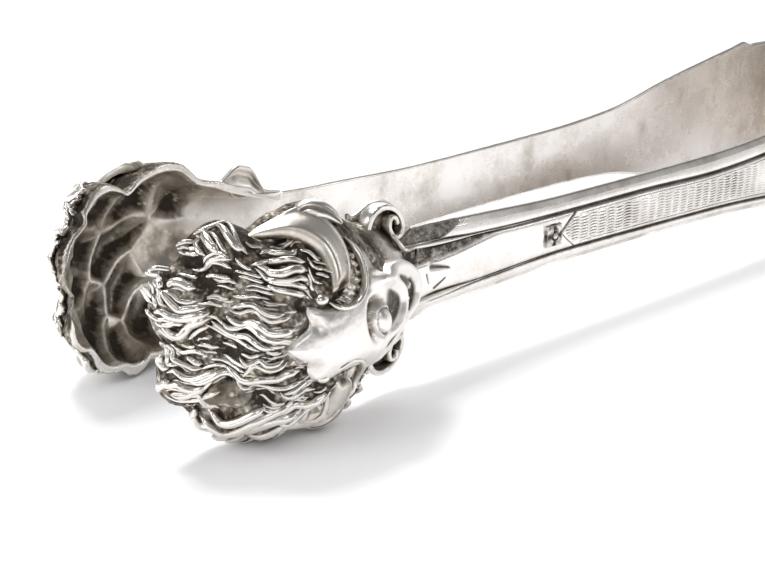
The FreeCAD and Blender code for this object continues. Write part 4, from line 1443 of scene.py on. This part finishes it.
def make_floor():
    corners = [(-FLOOR_HALF, -FLOOR_HALF, 0), (FLOOR_HALF, -FLOOR_HALF, 0),
               (FLOOR_HALF, FLOOR_HALF, 0), (-FLOOR_HALF, FLOOR_HALF, 0)]
    mesh = bpy.data.meshes.new("studio_floor")
    mesh.from_pydata(corners, [], [(0, 1, 2, 3)])
    floor = bpy.data.objects.new("studio_floor", mesh)
    scene.collection.objects.link(floor)
    floor.location.z = -0.00002   # just below the tongs
    material = bpy.data.materials.new("pale_floor")
    material.use_nodes = True
    shader = material.node_tree.nodes["Principled BSDF"]
    shader.inputs["Base Color"].default_value = (0.93, 0.93, 0.94, 1)
    shader.inputs["Roughness"].default_value = 0.65
    shader.inputs["Specular IOR Level"].default_value = 0.15
    mesh.materials.append(material)


def area_light(name, location, size, power, size_y=None):
    light = bpy.data.lights.new(name, "AREA")
    light.shape = "RECTANGLE"
    light.size = size
    light.size_y = size_y or size
    light.energy = power
    item = bpy.data.objects.new(name, light)
    item.location = location
    item.rotation_euler = (TARGET - Vector(location)).to_track_quat("-Z", "Y").to_euler()
    scene.collection.objects.link(item)


def make_world():
    """White to the camera, even for diffuse light, and shaped for reflections."""
    world = bpy.data.worlds.new("studio")
    scene.world = world
    nodes = Nodes(world)
    direction = nodes.new("ShaderNodeTexCoord").outputs["Generated"]
    toward = nodes.new("ShaderNodeVectorMath", {0: direction, 1: (0.60, 0.80, 0.0)},
                       operation="DOT_PRODUCT").outputs["Value"]
    up = nodes.new("ShaderNodeSeparateXYZ", {0: direction}).outputs[2]
    # a bright wall towards +X +Y that fades upwards, and a bright horizon
    wall = nodes.math(
        "MULTIPLY",
        nodes.remap(toward, span=(0.10, 0.60), to=(0.0, 0.62), interpolation="SMOOTHSTEP"),
        nodes.remap(up, span=(0.22, 0.55), to=(1.0, 0.12), interpolation="SMOOTHSTEP"))
    horizon = nodes.remap(up, span=(-0.04, 0.27), to=(0.55, 0.0), interpolation="SMOOTHSTEP")
    glow = nodes.math("ADD", nodes.math("MAXIMUM", wall, horizon), 0.15)
    strength = nodes.math("MULTIPLY", glow, 1.25)
    reflected = nodes.new("ShaderNodeBackground", {"Strength": strength})
    diffuse = nodes.new("ShaderNodeBackground",
                        {"Color": (0.99, 0.99, 1.0, 1), "Strength": 0.73})
    seen = nodes.new("ShaderNodeBackground", {"Color": (1, 1, 1, 1), "Strength": 1.0})
    rays = nodes.new("ShaderNodeLightPath").outputs
    lighting = nodes.new("ShaderNodeMixShader", {
        0: rays["Is Diffuse Ray"], 1: reflected.outputs[0], 2: diffuse.outputs[0]})
    final = nodes.new("ShaderNodeMixShader", {
        0: rays["Is Camera Ray"], 1: lighting.outputs[0], 2: seen.outputs[0]})
    nodes.new("ShaderNodeOutputWorld", {0: final.outputs[0]})


def make_camera(azimuth, fall, distance, lens):
    """Camera aimed at the target; azimuth turns from +Y to +X, fall is downwards."""
    azimuth, fall = math.radians(azimuth), math.radians(fall)
    forward = Vector((math.sin(azimuth) * math.cos(fall), math.cos(azimuth) * math.cos(fall),
                      -math.sin(fall)))
    data = bpy.data.cameras.new("camera")
    data.sensor_width = 36.0
    data.lens = lens
    data.clip_start = 0.002
    data.clip_end = 20
    camera = bpy.data.objects.new("camera", data)
    scene.collection.objects.link(camera)
    camera.location = TARGET - forward * distance
    camera.rotation_euler = forward.to_track_quat("-Z", "Y").to_euler()
    scene.camera = camera


make_floor()
area_light("key_softbox", location=(-0.02, 0.38, 0.95), size=0.24, power=4.8)
area_light("softbox_back", location=(0.50, 0.62, 0.62), size=0.50, power=2.4)
area_light("softbox_left", location=(-0.80, 0.25, 0.42), size=0.40, power=2.2)
area_light("fill_front", location=(-0.62, -0.62, 0.62), size=0.50, power=1.5)
area_light("strip_right", location=(0.62, -0.55, 0.50), size=0.10, power=0.9, size_y=0.7)
make_world()
scene.view_settings.view_transform = "Standard"
scene.view_settings.look = "None"
scene.view_settings.exposure = 0.0
make_camera(azimuth=44.47, fall=18.96, distance=0.16216, lens=56.470588)
